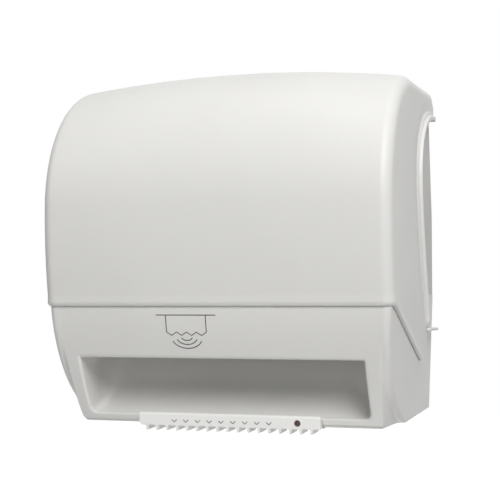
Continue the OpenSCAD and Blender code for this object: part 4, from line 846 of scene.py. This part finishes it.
    # Screw tabs and the bosses of the roller frame
    inHalf = h["half"] - h["wall"]
    wide, thick, tall = h["tab"]
    for s in (-1, 1):
        x = sorted((s * (inHalf - wide), s * (inHalf - h["tabSink"])))
        softBox(skin, [x[0], h["tabRear"] - thick, h["tabLow"]],
                [x[1], h["tabRear"], h["tabLow"] + tall], h["tabRound"])
    boss = tubeSection(*h["boss"], *h["bossSteps"])
    for place in h["bosses"]:
        skin.tube(turned(boss, place, 2, 32), ends=False)
    return skin.build("housing_shell", finishes["housing_white"], "base")


housingShell = lowerHousing()
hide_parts("lower_housing")


# Tear bar: a rounded section carried across, with a row of ridges that end in teeth at the front

bar = {
    "half": 91.5, "shift": 2.5, "thick": 4.5, "lip": housing["lip"], "top": -160.0, "low": -172.5, "gap": 0.4,
    "deep": 24.0, "round": 2.2, "footRound": 0.8, "endRound": 1.2, "endDraw": 0.35, "leftRound": 4.5,
    "soleGap": 0.2, "soleEdge": 0.3, "rootEdge": 0.2, "backEdge": 0.4,
    "teeth": 17, "span": 166.0, "toothDrop": 5.0, "toothRear": 4.0, "toothShort": 0.4, "rootHalf": 1.75, "sink": 0.5,
    "tipRound": 0.8, "tipTurn": 70, "tipLevel": 1.0, "tipEase": (0.5, 0.25),
    "lens": (72.0, -166.875), "lensHole": 3.25, "lensDeep": 3.35, "lensBlock": (4.2, 4.4, -4.2), "lensCells": 6,
}
barBack = float(noseFront(bar["lip"])) - bar["gap"]
barFace = barBack - bar["thick"]
barRoot = barFace + bar["deep"]


def tearBar():
    b = bar
    skin = Skin()
    lowBack, under = housing["noseY"] - b["gap"], -housing["noseDrop"] - b["gap"] - b["soleGap"]

    # Section: over the round top, down the face, back along the foot, and up the nose's front
    a = np.radians(between(0, 90, 8))
    top = np.stack([barFace + b["round"] * (1 - np.sin(a)), b["top"] - b["round"] * (1 - np.cos(a))], -1)
    faceZ = between(b["top"] - b["round"], b["low"] + b["footRound"], 9)
    face = np.stack([np.full(len(faceZ), barFace), faceZ], -1)
    foot = np.stack([barFace + b["footRound"] * (1 - np.cos(a)), b["low"] + b["footRound"] * (1 - np.sin(a))], -1)
    soleY = between(barFace + b["footRound"], barRoot - b["soleEdge"], 12)
    sole = np.stack([soleY, np.full(len(soleY), b["low"])], -1)
    rear = [(barRoot, b["low"] + b["soleEdge"]), (barRoot, under - b["rootEdge"]), (barRoot - b["rootEdge"], under),
            (lowBack + b["backEdge"], under), (lowBack, -housing["noseDrop"]), (barBack, b["lip"]),
            (barBack, b["top"] - b["backEdge"])]
    section = np.concatenate([[(barBack - b["backEdge"], b["top"])], top, face, foot, sole, rear])
    normal = np.roll(section, -1, 0) - np.roll(section, 1, 0)
    normal = unit(np.stack([-normal[:, 1], normal[:, 0]], -1))

    # Stations: the section shrinks on a quarter round towards both ends
    e = np.radians(np.linspace(90, 0, 6))
    inset = b["endRound"] * (1 - np.cos(e)) * b["endDraw"]
    endX = -b["half"] + b["endRound"] * (1 - np.sin(e))
    beside, upwards, downwards = b["lensBlock"]
    lensX = b["lens"][0] - b["shift"] + np.linspace(-beside, beside, b["lensCells"] + 1)
    x = joined(endX, between(endX[-1], lensX[0], 40), lensX[1:], between(lensX[-1], -endX[-1], 4), -endX[-2::-1])
    shrink = joined(inset, np.zeros(len(x) - 2 * len(inset)), inset[::-1])
    loops = section[None] + normal[None] * shrink[:, None, None]

    # The left lower corner is a quarter round
    r = b["leftRound"]
    short = r - np.sqrt(r ** 2 - np.clip(b["low"] + r - loops[..., 1], 0, r) ** 2)
    xs = np.maximum(x[:, None], short - b["half"])
    index = skin.add(np.concatenate([xs[..., None] + b["shift"], loops], -1))
    closed = looped(index)

    # Hole for the lens: a ring from the block of face cells to a circle, and a blind bore behind it
    c0 = int(np.argmin(abs(x - lensX[0])))
    down = 1 + len(top) + np.arange(len(faceZ))
    rows = [int(down[np.argmin(abs(faceZ - b["lens"][1] - off))]) for off in (upwards, downwards)]
    block = (c0, c0 + b["lensCells"], *rows)
    skin.grid(closed, cells(closed.shape, *block))
    skin.cap(index[0])
    skin.cap(index[-1])
    ring = rim(index, *block)
    p = circled(np.concatenate(skin.points)[ring][:, [0, 2]], b["lens"], b["lensHole"])
    mouth, bottom = (skin.add(np.insert(p, 1, barFace + deep, axis=1)) for deep in (0, b["lensDeep"]))
    skin.strip(ring, mouth)
    skin.strip(mouth, bottom)
    skin.cap(bottom)

    # A tooth's outline: straight flanks and a round tip; it runs back as a ridge that rises a little
    turn = np.radians(np.linspace(-b["tipTurn"], b["tipTurn"], 9))
    tip = np.stack([b["tipRound"] * np.sin(turn), b["tipRound"] * (1 - np.cos(turn))], -1)
    flank = np.linspace(0, 1, 5)[:-1, None]
    level, (ease, easeRun) = b["tipLevel"], b["tipEase"]
    back = joined(0.05, 0.2, 0.5, level, between(level, b["deep"] - b["toothShort"], 8))
    tall = np.interp(back, [level, b["deep"]], [b["toothDrop"], b["toothRear"]]) - ease * np.exp(-back / easeRun)
    outline = []
    for drop in tall:
        root = np.array([-b["rootHalf"], drop + b["sink"]])
        left = root + flank * (tip[0] - root)
        outline.append(np.concatenate([left, tip, left[::-1] * (-1, 1)]) + (0, -drop))
    outline = np.stack(outline)
    tooth = np.stack([outline[..., 0], np.broadcast_to((barFace + back)[:, None], outline.shape[:2]),
                      b["low"] + outline[..., 1]], -1)
    for x in b["shift"] + np.linspace(-b["span"] / 2, b["span"] / 2, b["teeth"]):
        skin.tube(tooth + (x, 0, 0))
    return skin.build("tear_bar_shell", finishes["bar_white"], "base", sharp=30)


tearBarShell = tearBar()
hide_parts("tear_bar")


# Sensor: a domed lens in a bezel with a round rim, both turned about the y axis

sensor = {
    "lens": 2.28, "dome": 1.3, "sunk": 0.9, "deep": 2.4,
    "bezel": 3.18, "bore": 2.34, "rim": 0.25, "bezelDeep": 3.35, "floorGap": 0.03, "middle": 0.02,
}


# A section of (depth behind the bar's face, radius) turned about the lens's middle
def turnedY(skin, section):
    skin.tube(turned(np.asarray(section, float) + (barFace, 0), bar["lens"], 1, 40))


# A quarter ellipse for the dome, then the straight side
def sensorLens():
    c = sensor
    a = np.radians(np.linspace(2, 90, 12))
    dome = np.stack([c["sunk"] + c["dome"] * (1 - np.cos(a)), c["lens"] * np.sin(a)], -1)
    skin = Skin()
    turnedY(skin, np.concatenate([dome, [(c["sunk"] + c["deep"], c["lens"])]]))
    return skin.build("sensor_lens_dome", finishes["lens_red"], "base")


# A cup with a half ellipse for its rim
def sensorBezel():
    c = sensor
    a = np.radians(np.linspace(0, 180, 9))
    mid = (c["bezel"] + c["bore"]) / 2
    half = (c["bezel"] - c["bore"]) / 2
    rim = np.stack([c["rim"] * (1 - np.sin(a)), mid + half * np.cos(a)], -1)
    floor = c["sunk"] + c["deep"] + c["floorGap"]
    skin = Skin()
    turnedY(skin, np.concatenate([[(c["bezelDeep"], c["middle"]), (c["bezelDeep"], c["bezel"])], rim,
                                  [(floor, c["bore"]), (floor, c["middle"])]]))
    return skin.build("sensor_bezel_ring", finishes["bezel_dark"], "base")


sensorLensDome = sensorLens()
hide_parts("sensor_lens")
sensorBezelRing = sensorBezel()
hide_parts("sensor_bezel")


# Arm spring: round wire wound about the pin, a straight leg at each end

spring = {
    "x": 107.7, "y": -18.0, "low": 83.0, "round": 4.1, "wire": 1.2, "turns": 5, "pitch": 1.8,
    "leg": 16.0, "legGap": 0.5, "rear": -5.0,
}


# A round section carried along a line: its two cross directions come from the way and the upright
def wound(path, r, sides=14):
    way = unit(np.gradient(path, axis=0))
    u = unit(np.cross(way, (0, 0, 1)))
    v = np.cross(u, way)
    k = np.arange(sides)[:, None] * 2 * np.pi / sides
    return path[:, None] + r * (np.cos(k) * u[:, None] + np.sin(k) * v[:, None])


# The coil rises evenly with its angle
def armSpring():
    s = spring
    a = np.linspace(0, 2 * np.pi * s["turns"], 40 * s["turns"])
    coil = np.stack([s["x"] + s["round"] * np.cos(a), s["y"] + s["round"] * np.sin(a),
                     s["low"] + s["pitch"] * a / 2 / np.pi], -1)
    top = s["low"] + s["pitch"] * s["turns"]
    lines = ((np.linspace(s["y"] - s["leg"], s["y"] - s["legGap"], 16), s["low"]),
             (np.linspace(s["y"] + s["legGap"], s["rear"], 12), top))
    legs = [np.stack([np.full(len(y), s["x"] + s["round"]), y, np.full(len(y), z)], -1) for y, z in lines]
    path = np.concatenate([legs[0], coil, legs[1]])
    skin = Skin()
    skin.tube(wound(path, s["wire"] / 2))
    piece = skin.build("arm_spring_coil", finishes["steel"], None)
    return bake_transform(piece)


armSpringCoil = armSpring()
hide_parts("arm_spring")


# Printed marks: thin lines laid on the nose and on the bar

marks = {
    "line": 0.42, "proud": 0.10, "foot": 0.02, "centre": (-27.0, -82.0),
    "slotHalf": 30.0, "slotRise": 17.0, "sheetHalf": 20.0, "sheetFoot": 1.0,
    "tears": 8, "tearDeep": 3.2, "tearLine": 0.378,
    "arcs": (6.0, 11.0, 16.0), "arcSpan": (205, 335), "arcDrop": 2.5, "arcFlat": 0.75,
    "chevrons": (-52, 44, 9), "chevronHalf": 2.6, "chevronTop": -166.6, "chevronLow": -169.0, "chevronLine": 0.34,
}


# A line as a flat ribbon: points shifted to both sides along the line's normal
def ribbon(skin, line, width, depth):
    line = np.asarray(line, float)
    way = unit(np.gradient(line, axis=0))
    side = np.stack([-way[:, 1], way[:, 0]], -1) * width
    foot, proud = marks["foot"], marks["proud"]
    rows = []
    for sign, lift in ((-1, foot), (-1, proud), (1, proud), (1, foot)):
        edge = line + sign * side
        rows.append(np.stack([edge[:, 0], depth(edge[:, 1]) - lift, edge[:, 1]], -1))
    index = skin.add(np.stack(rows, 1))
    skin.grid(looped(index))
    skin.cap(index[0])
    skin.cap(index[-1])


# A straight line from a to b in n steps
def dense(a, b, n=10):
    return np.linspace(a, b, n + 1)


# A sheet that hangs from a slot and ends in a torn edge, over three arcs of a sensed field
def noseMark():
    m = marks
    skin = Skin()
    cx, cz = m["centre"]
    top, foot = cz + m["slotRise"], cz + m["sheetFoot"]
    left, right = cx - m["sheetHalf"], cx + m["sheetHalf"]
    ribbon(skin, dense((cx - m["slotHalf"], top), (cx + m["slotHalf"], top)), m["line"], noseFront)
    ribbon(skin, dense((left, top), (left, foot)), m["line"], noseFront)
    tornX = np.linspace(left, right, m["tears"] + 1)
    torn = [(x, foot - m["tearDeep"] * (i % 2)) for i, x in enumerate(tornX)]
    for a, b in zip(torn[:-1], torn[1:]):
        ribbon(skin, dense(a, b, 4), m["tearLine"], noseFront)
    ribbon(skin, dense((right, foot), (right, top)), m["line"], noseFront)
    a = np.radians(np.linspace(*m["arcSpan"], 40))
    for r in m["arcs"]:
        arc = np.stack([cx + r * np.cos(a), cz - m["arcDrop"] + r * m["arcFlat"] * np.sin(a)], -1)
        ribbon(skin, arc, m["line"], noseFront)
    return skin.build("nose_mark", finishes["mark_ink"], "base")


# A row of chevrons that point down
def barMark():
    m = marks
    skin = Skin()
    for x in np.linspace(*m["chevrons"]):
        tip = (x, m["chevronLow"])
        ends = [(x + side * m["chevronHalf"], m["chevronTop"]) for side in (-1, 1)]
        for a, b in ((ends[0], tip), (tip, ends[1])):
            ribbon(skin, dense(a, b, 4), m["chevronLine"], lambda z: np.full(np.shape(z), barFace))
    return skin.build("bar_mark", finishes["mark_ink"], "base")


noseMarkPiece = noseMark()
barMarkPiece = barMark()


# Stage: pale floor, white beyond it, a soft key lamp from the upper right, and weak fills all round

# A lamp is its bearing to the right of the front, its height angle, distance, size and strength
stage = {
    "floor": -1.25, "floorSize": 12.0, "floorColour": (0.4, 0.4, 0.4), "floorShade": 0.97, "floorGlow": 0.95,
    "camera": (0.3733, -1.2924, -0.058), "pitch": 92.76, "yaw": 17.7, "lens": 86.06, "film": 36.0,
    "aim": (0.0, -0.12, 0.0), "worldLight": 0.245,
    "lamps": {
        "keyLamp": (31, 33, 2.4, 1.2, 0.80),
        "highLamp": (25, 60, 2.4, 1.2, 0.08),
        "sideFill": (75, 10, 2.4, 1.0, 0.08),
        "leftFill": (-50, 30, 2.4, 1.2, 0.09),
        "lowFill": (0, -74, 1.1, 0.5, 0.27),
        "edgeLamp": (-41, 80, 2.0, 0.25, 0.05),
    },
}


# Is Camera Ray, Is Glossy Ray or Is Transmission Ray
def seenRay(tree):
    path = tree.nodes.new("ShaderNodeLightPath")
    kinds = ("Camera", "Glossy", "Transmission")
    camera, glossy, through = (Field(tree, path.outputs["Is %s Ray" % kind]) for kind in kinds)
    return camera.maths("MAXIMUM", camera, camera.maths("MAXIMUM", glossy, through))


def makeStage():
    mesh = bpy.data.meshes.new("floor")
    s = stage["floorSize"]
    corners = [(x * s, y * s, stage["floor"]) for x, y in ((-1, -1), (1, -1), (1, 1), (-1, 1))]
    mesh.from_pydata(corners, [], [(0, 1, 2, 3)])
    floor = bpy.data.objects.new("floor", mesh)
    bpy.context.collection.objects.link(floor)
    f = Finish("floorPale", Roughness=0.8, Specular_IOR_Level=0.1, Emission_Strength=1.0)
    colour = f.mix(f.noise(3, 3), stage["floorColour"], tuple(stage["floorShade"] * v for v in stage["floorColour"]))
    glow = f.mix(seenRay(f.tree), (0, 0, 0), (stage["floorGlow"],) * 3)
    mesh.materials.append(f.feed(Base_Color=colour, Emission_Color=glow))

    # The world is white where it is seen, and a faint even light
    world = bpy.data.worlds.new("studio")
    bpy.context.scene.world = world
    world.use_nodes = True
    tree = world.node_tree
    seen = seenRay(tree)
    ground = tree.nodes["Background"]
    ground.inputs["Color"].default_value = (1, 1, 1, 1)
    tree.links.new((stage["worldLight"] + seen * (1 - stage["worldLight"])).socket, ground.inputs["Strength"])

    # A lamp of strength 1 lights a white surface that faces it to white
    for name, (bearing, height, far, size, strength) in stage["lamps"].items():
        lamp = bpy.data.lights.new(name, "AREA")
        lamp.shape, lamp.size, lamp.energy = "DISK", size, strength * (math.pi * far) ** 2
        turn, tilt = math.radians(bearing), math.radians(height)
        lampObject = bpy.data.objects.new(name, lamp)
        lampObject.location = np.asarray(stage["aim"]) + far * np.array(
            [math.sin(turn) * math.cos(tilt), -math.cos(turn) * math.cos(tilt), math.sin(tilt)])
        lampObject.rotation_euler = (math.pi / 2 - tilt, 0, turn)
        bpy.context.collection.objects.link(lampObject)

    eye = bpy.data.cameras.new("camera")
    eye.lens, eye.sensor_width = stage["lens"], stage["film"]
    camera = bpy.data.objects.new("camera", eye)
    camera.location = stage["camera"]
    camera.rotation_euler = (math.radians(stage["pitch"]), 0, math.radians(stage["yaw"]))
    bpy.context.collection.objects.link(camera)
    bpy.context.scene.camera = camera
    bpy.context.scene.view_settings.view_transform = "Standard"


makeStage()
print("stage: set")
